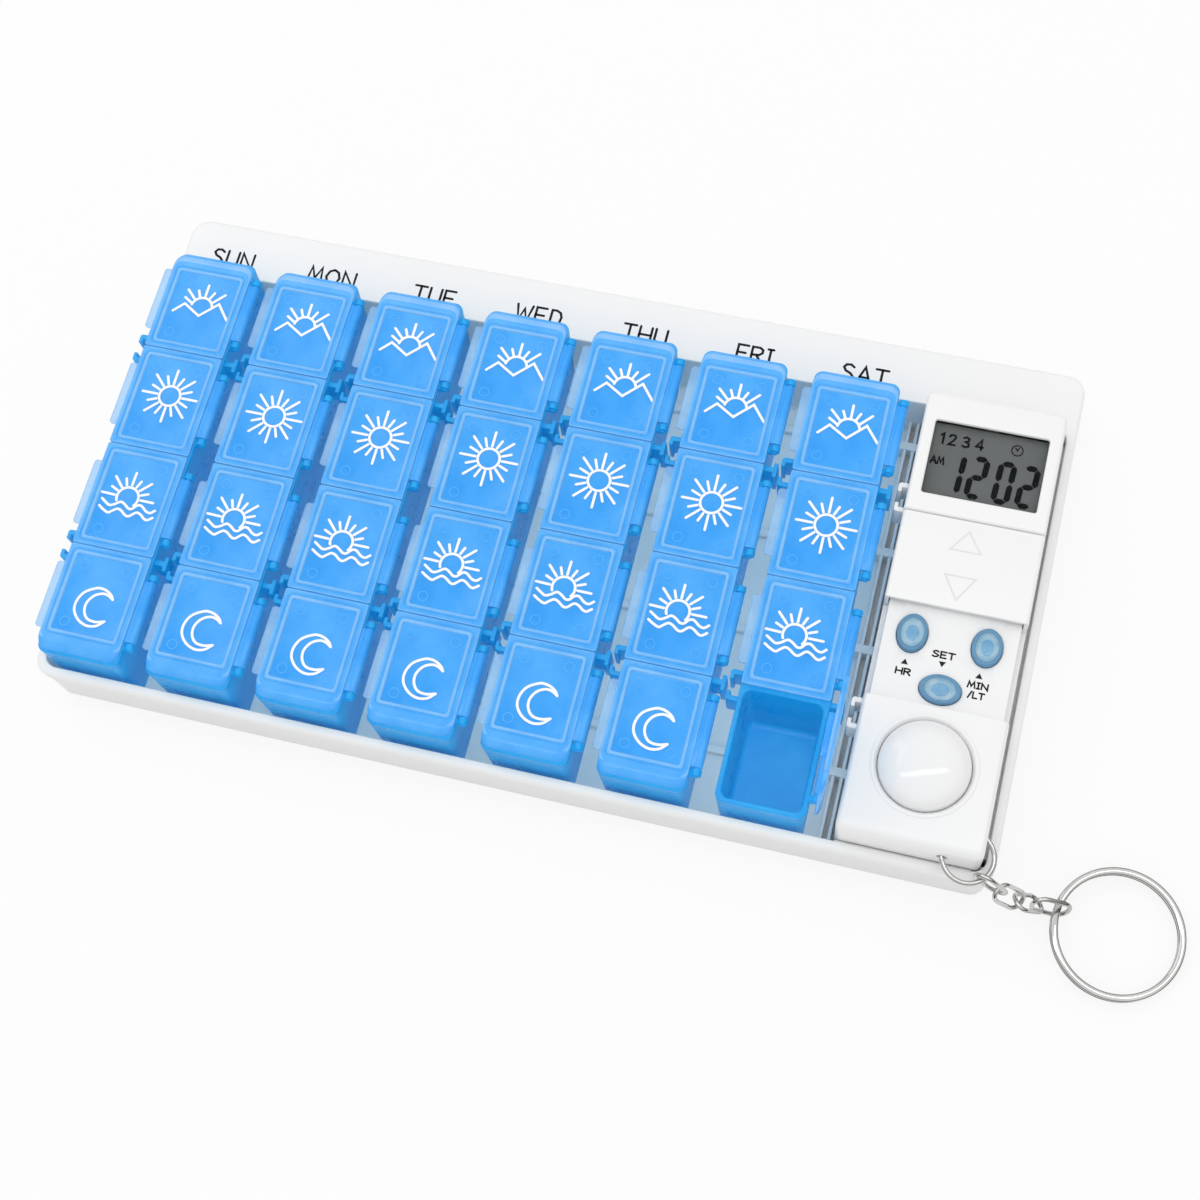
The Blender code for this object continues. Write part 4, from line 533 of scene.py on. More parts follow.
def tray_mesh():
    bm = bmesh.new()
    outer = loft(bm, walls(TRAY_BOX, TRAY_CORNER, TRAY_WALL, 10), False, False)
    pocket = loft(bm, walls(POCKET_BOX, POCKET_CORNER, POCKET_WALL, 10), False, True)
    hollow = loft(bm, walls(HOLLOW_BOX, POCKET_CORNER, HOLLOW_WALL, 6), False, True)
    fill(bm, outer[-1], pocket[0])
    fill(bm, outer[0], hollow[0])
    for y in RIB_Y:
        block(bm, (-REACH_X, y - RIB_HALF, REACH_X, y + RIB_HALF), 0.1, FLOOR_SEAT, RIB_TOP, top=0.35)
    for x in RAIL_X:
        rail = (x - RAIL_HALF, REACH_FRONT, x + RAIL_HALF, REACH_BACK)
        block(bm, rail, 0.1, FLOOR_SEAT, RAIL_TOP, top=0.25)
    for y in RIB_Y:
        bridge = (BRIDGE_X[0], y - BRIDGE_HALF, BRIDGE_X[1], y + BRIDGE_HALF)
        block(bm, bridge, 0.2, FLOOR_SEAT, BRIDGE_TOP, top=0.3)
    block(bm, SIDE_LEDGE, 0.1, FLOOR_SEAT, SIDE_LEDGE_TOP, top=0.1)
    block(bm, FRONT_LEDGE, 0.1, FLOOR_SEAT, FRONT_LEDGE_TOP, top=0.1)
    corner_x, corner_y = CORNER_MIDDLE
    corner = arc(CORNER_MIDDLE, CORNER_ROUND, -90, 0, 8)
    corner += [(REACH_X, corner_y), (REACH_X, REACH_FRONT), (corner_x, REACH_FRONT)]
    prism(bm, corner, FLOOR_SEAT, SIDE_LEDGE_TOP, 0.0)
    left, _, right, _ = HOLLOW_BOX
    for index in range(1, HOLLOW_BAYS):
        x = left + (right - left) * index / HOLLOW_BAYS
        block(bm, (x - HOLLOW_RIB_HALF, 50.5, x + HOLLOW_RIB_HALF, 61.2), 0.1, 12.0, 15.2, top=0.1, foot=0.25)
    for word, x in zip(DAY_WORDS, DAY_X):
        write(bm, word, (x, DAY_Y), DAY_SIZE, DAY_WIDTH, 16.95, 17.03, stretch=1.06)
    return finished(bm, "tray", WHITE, INK)


# Strips and lids
STRIP_HALF = (10.3, 54.15)
STRIP_WALL = (
    (0.0, 1.6), (0.12, 1.15), (0.45, 0.83), (0.95, 0.69), (21.6, 0.03), (21.9, 0.0), (22.15, 0.03),
    (22.32, 0.12), (22.4, 0.28),
)
CELL_HALF = (9.1, 12.7125)
CELL_WALL = (
    (22.4, -0.2), (22.3, -0.06), (22.1, 0.0), (2.9, 0.47), (2.2, 0.6), (1.7, 0.95), (1.45, 1.45), (1.4, 2.0),
)
EAR_MIDDLE, EAR_HALF, EAR_HOLE = 8.8, 0.75, 0.62
CLASP_LOW, CLASP_HIGH = 14.4, 21.6
ON_SIDE = Matrix.Rotation(QUARTER, 4, "X")


def strip_mesh():
    """One strip of four compartments, its foot at zero height."""
    bm = bmesh.new()
    half_x, half_y = STRIP_HALF
    outer = loft(bm, walls((-half_x, -half_y, half_x, half_y), 2.2, STRIP_WALL, 8), True, False)
    cell_x, cell_y = CELL_HALF
    rows = [y - STRIP_Y for y in ROW_Y]
    cells = [(-cell_x, y - cell_y, cell_x, y + cell_y) for y in rows]
    rims = [loft(bm, walls(cell, 2.0, CELL_WALL, 6, 0.8), False, True)[0] for cell in cells]
    fill(bm, outer[-1], *rims)
    pin_hole = circle_2d((AXIS_X, AXIS_Z - SEAT), EAR_HOLE, 16)
    for y in rows:
        for side in (-1, 1):
            matrix = Matrix.Translation((0, y + side * EAR_MIDDLE, 0)) @ ON_SIDE
            prism(bm, ear_outline(), -EAR_HALF, EAR_HALF, 0.12, [pin_hole], matrix)
    for middle in (-CELL_PITCH, CELL_PITCH):
        for side in (-1, 1):
            prism(bm, prong_outline(-half_x, side, middle, 2.8), CLASP_LOW, CLASP_HIGH, 0.18)
        prism(bm, post_outline(half_x, middle), CLASP_LOW, CLASP_HIGH, 0.15)
    return finished(bm, "strip", BLUE)


def ear_outline():
    """A hinge ear from the side: X outwards and height above the strip's foot."""
    x, z, radius, root = AXIS_X, AXIS_Z - SEAT, 1.18, STRIP_HALF[0] - 0.3
    angles = [radians(angle) for angle in range(-90, 151, 20)]
    crown = [(x + radius * sin(angle), z + radius * cos(angle)) for angle in angles]
    return [(root, 20.8), (root, 22.2), (x - radius, 22.2)] + crown + [(x + 0.3, 20.8)]


def prong_outline(wall_x, side, middle, reach):
    """One hooked prong from above; side is 1 behind and -1 in front."""
    outer, inner, hook = (middle + side * offset for offset in (3.7, 2.5, 1.4))
    tip = wall_x - reach
    return [
        (wall_x + 0.4, outer), (tip + 0.6, outer), (tip + 0.15, outer - side * 0.2),
        (tip, outer - side * 0.6), (tip, hook), (tip + 0.9, hook), (tip + 0.9, inner), (wall_x + 0.4, inner),
    ]


def post_outline(wall_x, middle):
    """The headed post from above."""
    neck, head, thin, wide = wall_x + 2.0, wall_x + 3.0, 0.65, 1.8
    half = [(wall_x - 0.4, thin), (neck, thin), (neck, wide), (head, wide)]
    return [(x, middle - y) for x, y in half] + [(x, middle + y) for x, y in reversed(half)]


LID_BOX = (-22.0, -13.3, -1.6, 13.3)
LID_LOW, LID_TOP = 0.15, 1.45
LID_MIDDLE_X = -11.8
BORDER, LONG_END = 2.3, 5.0
EDGE_HEIGHTS = (0.55, 0.75, 0.95, 1.1, 1.2, 1.3, 1.38, 1.43, LID_TOP)
# From the border down into the window: how far drawn in, height, corner
RIDGE_STEPS = (
    (-1.35, LID_TOP, 1.6), (-1.25, 1.38, 1.5), (-1.12, 1.22, 1.45), (-0.98, 1.17, 1.4), (-0.86, 1.22, 1.3),
    (-0.74, 1.38, 1.2), (-0.62, 1.44, 1.1), (-0.35, 1.44, 1.0), (-0.12, 1.38, 0.9), (0.0, 1.22, 0.8),
    (0.08, 1.1, 0.8), (0.3, 1.05, 0.7),
)
PIN_MARK = ((1.25, 1.02), (1.25, 1.09), (1.15, 1.11), (1.05, 1.09), (1.05, 1.02))
BARREL_RADIUS, BARREL_HALF, PIN_RADIUS, PIN_HALF = 1.12, 7.75, 0.5, 9.25
PRINT_LOW, PRINT_HIGH, PRINT_WIDTH, PRINT_STEP = 1.03, 1.09, 0.62, 0.02
# Places of the finishes in a lid's list
ON_PRINT, ON_FRAME, ON_RIDGE_HIGHLIGHT, ON_TAB, ON_END_HIGHLIGHT = range(1, 6)


def drawn_in(z, radius):
    """How far a rounded top edge is drawn in at a height."""
    rise = z - (LID_TOP - radius)
    return 0.0 if rise <= 0 else radius - sqrt(max(radius * radius - rise * rise, 0.0))


def lid_mesh(dose):
    """One lid, its origin on the hinge axis; the outer lids have a long rounded end."""
    end = {"morning": 1, "night": -1}.get(dose, 0)
    x0, y0, x1, y1 = LID_BOX
    back, front = (LONG_END if end == side else 2.2 for side in (1, -1))
    window = (x0 + BORDER, y0 + front, x1 - BORDER, y1 - back)
    radii = tuple(2.6 if end * side > 0 else 0.5 for side in (1, 1, -1, -1))

    def outline(z, side, tip):
        box = (x0 + side, y0 + (tip if end < 0 else side), x1 - side, y1 - (tip if end > 0 else side))
        return rounded(box, tuple(max(radius - side, 0.1) for radius in radii), z, 6)

    bm = bmesh.new()
    loops = [rounded(inset(window, 0.2), 1.0, 0.35), rounded(inset(window, -0.1), 1.2, LID_LOW)]
    loops += [outline(LID_LOW, 0.25, 0.3), outline(0.22, 0.08, 0.1), outline(0.35, 0.0, 0.0)]
    loops += [outline(z, drawn_in(z, 0.3), drawn_in(z, 1.1) * 2.2) for z in EDGE_HEIGHTS]
    loops += [rounded(inset(window, draw), radius, z) for draw, z, radius in RIDGE_STEPS]
    loft(bm, loops)
    paint_frame(bm, window, end)
    start = len(bm.faces)
    half = [(x0 + 0.5, -8.5), (x0 - 1.5, -8.4), (x0 - 2.0, -7.9)]
    tab = half + [(x, -y) for x, y in reversed(half)]
    prism(bm, tab, LID_LOW + 0.02, 0.80, 0.15)
    paint_from(bm, start, ON_TAB)
    prism(bm, oblong(-20.6, -5.0, -19.8, 5.0), -1.25, 0.4, 0.15)
    prism(bm, oblong(x1 - 0.5, -7.74, 0.0, 7.74), LID_LOW + 0.02, 0.95, 0.12)
    prism(bm, circle_2d((0, 0), BARREL_RADIUS, 20), -BARREL_HALF, BARREL_HALF, 0.12, matrix=ON_SIDE)
    prism(bm, circle_2d((0, 0), PIN_RADIUS, 12), -PIN_HALF, PIN_HALF, 0.08, matrix=ON_SIDE)
    start = len(bm.faces)
    for x in (window[0] + 2.6, window[2] - 2.6):
        for y in (window[1] + 2.4, window[3] - 2.4):
            pin_mark(bm, (x, y))
    paint_from(bm, start, ON_FRAME)
    for index, (points, closed) in enumerate(figure(dose)):
        high = PRINT_HIGH + (PRINT_STEP if index == 1 else 0.0)
        points = [(LID_MIDDLE_X + x, y) for x, y in points]
        stroke(bm, points, PRINT_WIDTH, PRINT_LOW, high, closed, ON_PRINT)
    return finished(bm, dose + "_lid", LID, PRINT, FRAME, RIDGE_HIGHLIGHT, TAB, END_HIGHLIGHT)


def paint_frame(bm, window, end):
    """Gives a lid's border its finish, and paints lighter blue highlights on its ridge and outer edge and on
    a morning lid's long end.
    """
    def within(point, reach):
        x0, y0, x1, y1 = inset(window, -reach)
        return x0 < point.x < x1 and y0 < point.y < y1

    for face in bm.faces:
        centre = face.calc_center_median()
        if within(centre, -0.05):
            continue
        below_top = centre.z < LID_TOP - 0.001
        # The ridge and the outer edge's rounded top take the lighter blue of the painted highlights.
        ridge_highlight = within(centre, 0.72) and centre.z > 1.15
        edge_highlight = not within(centre, 1.4) and centre.z > 1.28 and below_top
        # A morning lid's long end is painted the lighter blue of the highlight; a night lid's long end keeps
        # the frame finish.
        if end and not within(centre, 2.35) and centre.z > 1.2:
            face.material_index = ON_END_HIGHLIGHT if end > 0 and below_top else ON_FRAME
        else:
            face.material_index = ON_RIDGE_HIGHLIGHT if ridge_highlight or edge_highlight else ON_FRAME


def pin_mark(bm, centre):
    """The faint ring that an ejector pin leaves."""
    rings = [circle(centre, radius, z, 24) for radius, z in PIN_MARK]
    loft(bm, rings + [rings[0]], False, False)
    bmesh.ops.remove_doubles(bm, verts=[v for v in bm.verts if v.is_boundary], dist=0.001)


def rays(centre, inner, count, first, step, outer_long, outer_short):
    """Sun rays as lines, long and short in turn."""
    result = []
    for index in range(count):
        angle = radians(first + step * index)
        outer = outer_short if index % 2 else outer_long
        result.append(([around(reach, angle, centre) for reach in (inner, outer)], False))
    return result


def figure(dose):
    """The plain printed figure of one lid row: lines round its middle, and whether each closes on itself."""
    if dose == "morning":
        hills = [(-6.4, -2.85), (-4.02, -0.35), (0.44, -3.0), (4.56, 1.08), (7.79, -2.85)]
        tips = (
            ((-2.45, 0.15), (-4.44, 1.38)), ((-1.85, 1.2), (-4.29, 3.57)), ((-0.75, 1.95), (-1.6, 3.79)),
            ((0.48, 2.3), (0.46, 5.64)), ((1.72, 2.0), (2.57, 3.85)), ((2.85, 1.2), (5.38, 3.84)),
        )
        sun = arc((0.42, -0.62), 2.66, 172, 12, 14)
        return [(line, False) for line in (hills, sun, *tips)]
    if dose == "noon":
        centre = (0.45, 1.3)
        return [(arc(centre, 2.65, 0, 348, 29), True)] + rays(centre, 3.3, 16, 90, -22.5, 7.0, 5.45)
    if dose == "evening":
        centre = (-0.9, 0.25)
        waves = (
            [(-6.95, -1.12), (-5.82, -1.85), (-4.67, -2.45), (-3.49, -2.03), (-2.12, -1.1), (-0.9, -1.58),
             (0.19, -2.36), (1.13, -2.27), (2.13, -1.2), (3.18, -1.09), (4.67, -2.18), (5.81, -2.39),
             (6.78, -1.61)],
            [(-7.01, -3.02), (-5.81, -3.78), (-4.34, -4.37), (-3.44, -3.72), (-2.35, -2.97), (-1.29, -3.26),
             (0.06, -4.21), (1.03, -4.22), (2.42, -3.01), (3.56, -3.22), (4.77, -4.09), (5.69, -4.28),
             (6.76, -3.48)],
        )
        lines = [arc(centre, 2.7, 205, -38, 24)] + [smooth_line(wave) for wave in waves]
        return [(line, False) for line in lines] + rays(centre, 3.35, 9, 178, -22.3, 6.6, 5.1)
    outer = [(4.28, 1.48), (3.6, 2.45), (2.3, 3.28), (0.9, 3.62), (-0.6, 3.42), (-3.0, 1.9), (-4.12, -0.5),
             (-3.9, -2.9), (-2.2, -4.96), (0.2, -5.95), (2.5, -5.55), (4.13, -4.1)]
    inner = [(2.0, -4.65), (-0.1, -4.3), (-1.4, -2.7), (-1.62, -0.6), (-0.5, 1.45), (1.4, 2.45), (3.0, 2.25)]
    return [(smooth_line(line, 5), False) for line in (outer, outer[-1:] + inner + outer[:1])]


def smooth_line(points, steps=4):
    """Puts a smooth curve through the points."""
    points = [Vector(point) for point in points]
    padded = [2 * points[0] - points[1]] + points + [2 * points[-1] - points[-2]]
    result = []
    for a, b, c, d in zip(padded, padded[1:], padded[2:], padded[3:]):
        for step in range(steps):
            t = step / steps
            result.append(tuple(0.5 * (
                2 * b + (c - a) * t + (2 * a - 5 * b + 4 * c - d) * t * t + (3 * b - a - 3 * c + d) * t ** 3
            )))
    result.append(tuple(points[-1]))
    return result


def add_strips():
    strip = strip_mesh()
    lids = {dose: lid_mesh(dose) for dose in DOSES}
    for day, x in zip(DAYS, STRIP_X):
        node = day + "_strip"
        piece(node + "_body", strip, node, [node], moved(x, STRIP_Y, SEAT))
        for dose, y in zip(DOSES, ROW_Y):
            node = f"{day}_{dose}_lid"
            matrix = moved(x + AXIS_X, y, AXIS_Z)
            if node == OPEN_LID:
                matrix = matrix @ Matrix.Rotation(OPEN_ANGLE, 4, "Y")
            piece(node + "_plate", lids[dose], node, [node], matrix)


# Alarm clock
BASE_SEAM = 10.3
TRACK_FRONT, TRACK_BACK = -28.816, 17.0
PANEL_TOP, PANEL_BOTTOM = 24.0, 22.4
COVER_FOOT = 20.8
CEILING = 24.8
NECK_HALF, GROOVE_HALF, LIP_HALF = 15.05, 14.35, 14.65
CLOCK_HALF, CAVITY_HALF, TRACK_CAVITY_HALF = 16.35, 14.75, 13.45
COVER_MIDDLE_Y, COVER_HALF_LENGTH = 5.775, 10.925
WINDOW_MIDDLE = (CLOCK_X, 31.35)
WINDOW_HALF = (13.3, 9.45)
BUTTONS = {
    "hour_button": (86.08, -11.97, 3.45, 4.58), "minute_button": (103.02, -11.97, 3.45, 4.58),
    "set_button": (CLOCK_X, -23.91, 4.725, 3.47),
}
DOME_RADIUS, DOME_RISE, DOME_SHELL = 10.2, 4.2, 1.3
FRONT_EDGE = 2.2
LOOP_CENTRE = Vector((107.7, -59.2, 21.2))
LOOP_RADIUS = 5.75
LOOP_TILT = radians(8)
LOOP_EXIT = radians(-42)
SCREWS = ((CLOCK_X, 44.1), (83.7, -56.0))
CASE_WALL, CASE_CORNER, JOIN_HEIGHT = 1.6, 1.8, 20.0
# Outline of the dome's moat and of the window's edge, as how far out or in, and height
MOAT = (
    (0.2, 24.0), (0.2, 25.5), (0.3, 25.72), (0.5, 26.1), (0.72, 26.42), (0.95, 26.63), (1.12, 26.71),
    (1.12, 27.2),
)
WINDOW_EDGE = ((24.0, 0.0), (26.0, 0.0), (26.25, -0.1), (26.37, -0.3), (26.4, -0.5), (27.0, -0.5))
HOLE_EDGE = ((0.1, 22.0), (0.1, 23.7), (0.16, 23.9), (0.32, 24.0), (0.32, 24.6))


def about(middle, half):
    """A box from its middle and half sizes."""
    return middle[0] - half[0], middle[1] - half[1], middle[0] + half[0], middle[1] + half[1]


def new_block(*arguments, **options):
    """A bmesh that holds one rounded box."""
    bm = bmesh.new()
    block(bm, *arguments, **options)
    return bm


def new_post(centre, profile, steps=32, squash=1.0):
    """A bmesh that holds one turned shape."""
    bm = bmesh.new()
    lathe(bm, profile, centre, steps, squash)
    return bm


def upper_case_mesh():
    """The clock's upper case: solids joined and cut in turn, then its clasps and its print."""
    x0, y0, x1, y1 = CLOCK_BOX
    corners = (0.25, 0.25, CASE_CORNER, CASE_CORNER)
    neck = (CLOCK_X - NECK_HALF, TRACK_FRONT - 1, CLOCK_X + NECK_HALF, TRACK_BACK + 1)
    front = bmesh.new()
    loft(front, [rounded((x0, y0, x1, TRACK_FRONT), corners, JOIN_HEIGHT)] + [
        rounded((x0 + 0.5 * draw, y0 + draw, x1 - 0.5 * draw, TRACK_FRONT), corners, CLOCK_TOP - drop)
        for drop, draw in corner_profile(FRONT_EDGE, 7)
    ])
    steps = [
        ("UNION", new_block(neck, 0.1, JOIN_HEIGHT, PANEL_TOP, top=0.15)),
        ("UNION", new_block((x0, TRACK_BACK, x1, y1), corners[::-1], JOIN_HEIGHT, CLOCK_TOP, top=0.9)),
        ("UNION", front),
    ]
    for side in (-1, 1):
        near, far = sorted((CLOCK_X + side * GROOVE_HALF, CLOCK_X + side * (CLOCK_HALF + 1)))
        groove = new_block((near, TRACK_FRONT, far, TRACK_BACK), 0.02, 20.5, 21.9, top=0.02)
        steps.append(("DIFFERENCE", groove))
    low_y, high_y = y0 + CASE_WALL, y1 - CASE_WALL
    hollow = new_block((CLOCK_X - CAVITY_HALF, low_y, CLOCK_X + CAVITY_HALF, high_y), 0.6, 9.0, 18.9, top=0.1)
    for half, first, last, top in (
        (CAVITY_HALF, low_y, TRACK_FRONT - 0.9, CEILING),
        (CAVITY_HALF, TRACK_BACK + CASE_WALL, high_y, CEILING),
        (TRACK_CAVITY_HALF, TRACK_FRONT - 1.3, TRACK_BACK + 2.0, PANEL_BOTTOM),
    ):
        room = new_block((CLOCK_X - half, first, CLOCK_X + half, last), 0.6, 18.0, top, top=0.1)
        hollow = combined(hollow, room, "UNION")
    hollow = combined(hollow, new_post(LOOP_CENTRE.xy, [(8.15, 18.8), (8.15, 23.6)], 48), "DIFFERENCE")
    window, box = bmesh.new(), about(WINDOW_MIDDLE, WINDOW_HALF)
    loft(window, [rounded(inset(box, draw), 0.6 + max(-draw, 0), z) for z, draw in WINDOW_EDGE])
    steps += [
        ("DIFFERENCE", hollow), ("DIFFERENCE", window),
        ("DIFFERENCE", new_block(inset(box, -0.7), 0.5, 24.0, 25.6, top=0.02)),
    ]
    for x, y, half_x, half_y in BUTTONS.values():
        profile = [(half_x + draw, z) for draw, z in HOLE_EDGE]
        steps.append(("DIFFERENCE", new_post((x, y), profile, 64, (half_y + 0.1) / (half_x + 0.1))))
    profile = [(DOME_RADIUS + draw, z) for draw, z in MOAT]
    steps += [("UNION", dome_ring()), ("DIFFERENCE", new_post((CLOCK_X, DOME_Y), profile, 72))]
    for place in SCREWS:
        steps.append(("UNION", new_post(place, [(1.9, 16.0), (1.9, 25.2)], 24)))
        steps.append(("DIFFERENCE", new_post(place, [(1.1, 15.0), (1.1, 23.5)], 24)))
    tunnel = bmesh.new()
    ring_tube(tunnel, loop_points(48), 1.2, 16, loop_matrix())
    case = new_block(CLOCK_BOX, CASE_CORNER, BASE_SEAM, 20.5, top=0.05, foot=0.15)
    for operation, tool in steps + [("DIFFERENCE", tunnel)]:
        case = combined(case, tool, operation)
    for middle in (STRIP_Y - CELL_PITCH, STRIP_Y + CELL_PITCH):
        for side in (-1, 1):
            prism(case, prong_outline(x0, side, middle, 2.3), 16.8, CLOCK_TOP - 2.4, 0.18)
    label(case)
    return finished(case, "upper_case", WHITE, INK, angle=28)


def dome_ring():
    """The round bead moulded about the dome."""
    bm = bmesh.new()
    middle, half, base = DOME_RADIUS + 1.15, 0.65, 25.9
    angles = [pi * step / 8 for step in range(9)]
    section = [(middle - half * cos(angle), CLOCK_TOP + 0.3 * sin(angle)) for angle in angles]
    section += [(middle + half, base), (middle - half, base)]
    circles = [circle((CLOCK_X, DOME_Y), radius, z, 72) for radius, z in section]
    loft(bm, circles + [circles[0]], False, False)
    bmesh.ops.remove_doubles(bm, verts=bm.verts, dist=0.0005)
    return bm


def label(bm):
    """Prints the plain button names and their arrow heads on the button panel."""
    low, high = PANEL_TOP - 0.02, PANEL_TOP + 0.04
    for word, place, size, stretch in (
        ("HR", (85.8, -21.3), 1.45, 1.5), ("SET", (93.95, -15.6), 1.45, 1.48),
        ("MIN", (102.6, -21.1), 1.38, 1.45), ("/LT", (102.65, -23.45), 1.38, 1.3),
    ):
        write(bm, word, place, size, 0.38, low, high, stretch)
    for x, y, way in ((85.75, -19.0, 1), (93.95, -17.75, -1), (102.5, -18.85, 1)):
        start = len(bm.faces)
        head = ((x - 0.8, y - 0.55 * way), (x + 0.8, y - 0.55 * way), (x, y + 0.75 * way))
        loft(bm, [[(*point, z) for point in head] for z in (low, high)])
        paint_from(bm, start, 1)


def cover_mesh():
    """The sliding cover: a channel that hugs the button panel's neck, with two faint embossed arrow heads
    whose outlines are painted grey as shade.
    """
    top_round = [(CLOCK_HALF - draw, CLOCK_TOP - drop) for drop, draw in corner_profile(0.9, 5)]
    right = [(LIP_HALF, COVER_FOOT), (CLOCK_HALF, COVER_FOOT)] + top_round
    inner = [(LIP_HALF, 21.6), (CLOCK_HALF - 1, 21.6), (CLOCK_HALF - 1, 25.4)]
    outline = right + [(-x, z) for x, z in right[::-1] + inner] + inner[::-1]
    bm = bmesh.new()
    matrix = Matrix.Translation((CLOCK_X, COVER_MIDDLE_Y, 0)) @ ON_SIDE
    prism(bm, outline, -COVER_HALF_LENGTH, COVER_HALF_LENGTH, 0.14, matrix=matrix)
    x, half = 94.05, 3.5
    for tip, foot in ((14.1, 9.1), (-2.9, 2.8)):
        head = [(x - half, foot), (x + half, foot), (x, tip)]
        # The arrow outlines are raised a little and painted grey as the shade of their edges.
        stroke(bm, head, 0.42, CLOCK_TOP - 0.1, CLOCK_TOP + 0.02, True)
    return finished(bm, "cover", WHITE, ARROW_SHADE)


def button_mesh(name):
    """A dished oval cap with a raised rim, and the tabs that keep it in."""
    x, y, half_x, half_y = BUTTONS[name]
    profile = [
        (1.0, 21.1), (1.0, 24.5), (0.985, 24.72), (0.95, 24.9), (0.90, 24.98), (0.85, 25.0), (0.80, 24.96),
        (0.76, 24.84), (0.73, 24.66), (0.69, 24.50), (0.63, 24.38), (0.56, 24.32), (0.49, 24.33),
        (0.43, 24.40), (0.37, 24.47), (0.28, 24.52), (0.16, 24.55), (0.05, 24.56),
    ]
    bm = bmesh.new()
    lathe(bm, [(share * half_x, z) for share, z in profile], (x, y), 64, half_y / half_x)
    for face in bm.faces:
        centre = face.calc_center_median()
        share = hypot((centre.x - x) / half_x, (centre.y - y) / half_y)
        # The dish's ring and middle take the lighter blues of its painted highlights.
        if share < 0.77 and centre.z > 24:
            face.material_index = 1 if share > 0.42 else 2
    prism(bm, oblong(x - 2.5, y - half_y - 1.1, x + 2.5, y + half_y + 1.1), 21.1, 22.1, 0.1)
    return finished(bm, name, BUTTON, DISH_RING_HIGHLIGHT, DISH_MIDDLE_HIGHLIGHT)


def quarter_round(radius, rise, steps, count):
    """Points of the dome's side view, from its foot upwards."""
    angles = [QUARTER * step / steps for step in range(count)]
    return [(radius * cos(angle), CLOCK_TOP + rise * sin(angle)) for angle in angles]


def dome_mesh():
    """The alarm button: a domed shell with a flange, hollow below, and a stem."""
    bm = bmesh.new()
    inside, top = DOME_RADIUS - DOME_SHELL, CLOCK_TOP + DOME_RISE
    inner = quarter_round(inside, DOME_RISE - DOME_SHELL, 10, 9)
    outer = quarter_round(DOME_RADIUS, DOME_RISE, 24, 24)
    steps = ((0.7, 23.2), (0.7, 24.5), (0.12, 24.5), (0.12, 25.75), (0.07, 26.1))
    flange = [(inside, 23.2)] + [(DOME_RADIUS + reach, z) for reach, z in steps]
    profile = [(1.5, 21.8), (1.5, top - 1.4)] + inner[::-1] + flange + outer + [(0.2, top)]
    lathe(bm, profile, (CLOCK_X, DOME_Y), 96)
    return finished(bm, "dome", GLOSS)


SEGMENTS = {"1": "bc", "2": "abged", "0": "abcdef"}


def digits_mesh():
    """The figures that the display shows, a thin layer on its glass."""
    bm = bmesh.new()
    low, high = 24.2, 24.26
    for sign, x in (("1", 87.9), ("2", 93.25), ("0", 99.5), ("2", 104.95)):
        for segment in SEGMENTS[sign]:
            digit_bar(bm, (x, 28.75), segment, low, high)
    for sign, x in (("1", 83.6), ("2", 86.0), ("3", 89.2), ("4", 92.4)):
        write(bm, sign, (x, 37.2), 2.6, 0.5, low, high, paint=0)
    for sign, x in (("A", 82.6), ("M", 84.3)):
        write(bm, sign, (x, 31.4), 1.8, 0.42, low, high, paint=0)
    x, y = 101.1, 37.5
    stroke(bm, arc((x, y), 1.3, 0, 350, 35), 0.26, low, high, True, paint=0)
    stroke(bm, [(x - 0.5, y + 0.6), (x, y), (x + 0.35, y + 0.75)], 0.26, low, high, paint=0)
    return finished(bm, "digits", DIGIT)


def digit_bar(bm, centre, segment, low, high):
    """One bar of a seven bar figure, as a long hexagon."""
    half_x, half_y, thick, gap = 1.5, 4.85, 0.7, 0.1
    spots = {
        "a": (-1, 1, 1, 1), "g": (-1, 0, 1, 0), "d": (-1, -1, 1, -1), "b": (1, 0, 1, 1), "c": (1, -1, 1, 0),
        "f": (-1, 0, -1, 1), "e": (-1, -1, -1, 0),
    }
    x0, y0, x1, y1 = spots[segment]
    start, end = Vector((x0 * half_x, y0 * half_y)), Vector((x1 * half_x, y1 * half_y))
    along = (end - start).normalized()
    across = Vector((-along.y, along.x)) * thick
    start, end = start + along * gap, end - along * gap
    near, far = start + along * thick, end - along * thick
    shape = [start, near - across, far - across, end, far + across, near + across]
    lean = 0.05
    points = [(centre[0] + p.x + lean * p.y, centre[1] + p.y) for p in shape]
    loft(bm, [[(x, y, z) for x, y in points] for z in (low, high)])


def door_mesh():
    """The battery door from below: a plate with grip ribs."""
    bm = bmesh.new()
    box = about((CLOCK_X, 1.78), (11.8, 12.8))
    block(bm, box, 0.6, 4.05, 5.0, top=0.1, foot=0.2)
    for index in range(6):
        y = -7.6 + index * 1.5
        block(bm, (CLOCK_X - 5.0, y - 0.35, CLOCK_X + 5.0, y + 0.35), 0.3, 3.82, 4.3, top=0.05, foot=0.2)
    return finished(bm, "door", WHITE)


# Key chain
def loop_matrix():
    """The wire loop's place and tilt, in millimetres."""
    return Matrix.Translation(LOOP_CENTRE) @ Matrix.Rotation(LOOP_TILT, 4, Vector((1, 1, 0)))


def loop_points(steps):
    """The wire loop's middle line, flat."""
    return [Vector((*around(LOOP_RADIUS, TURN * step / steps), 0)) for step in range(steps)]


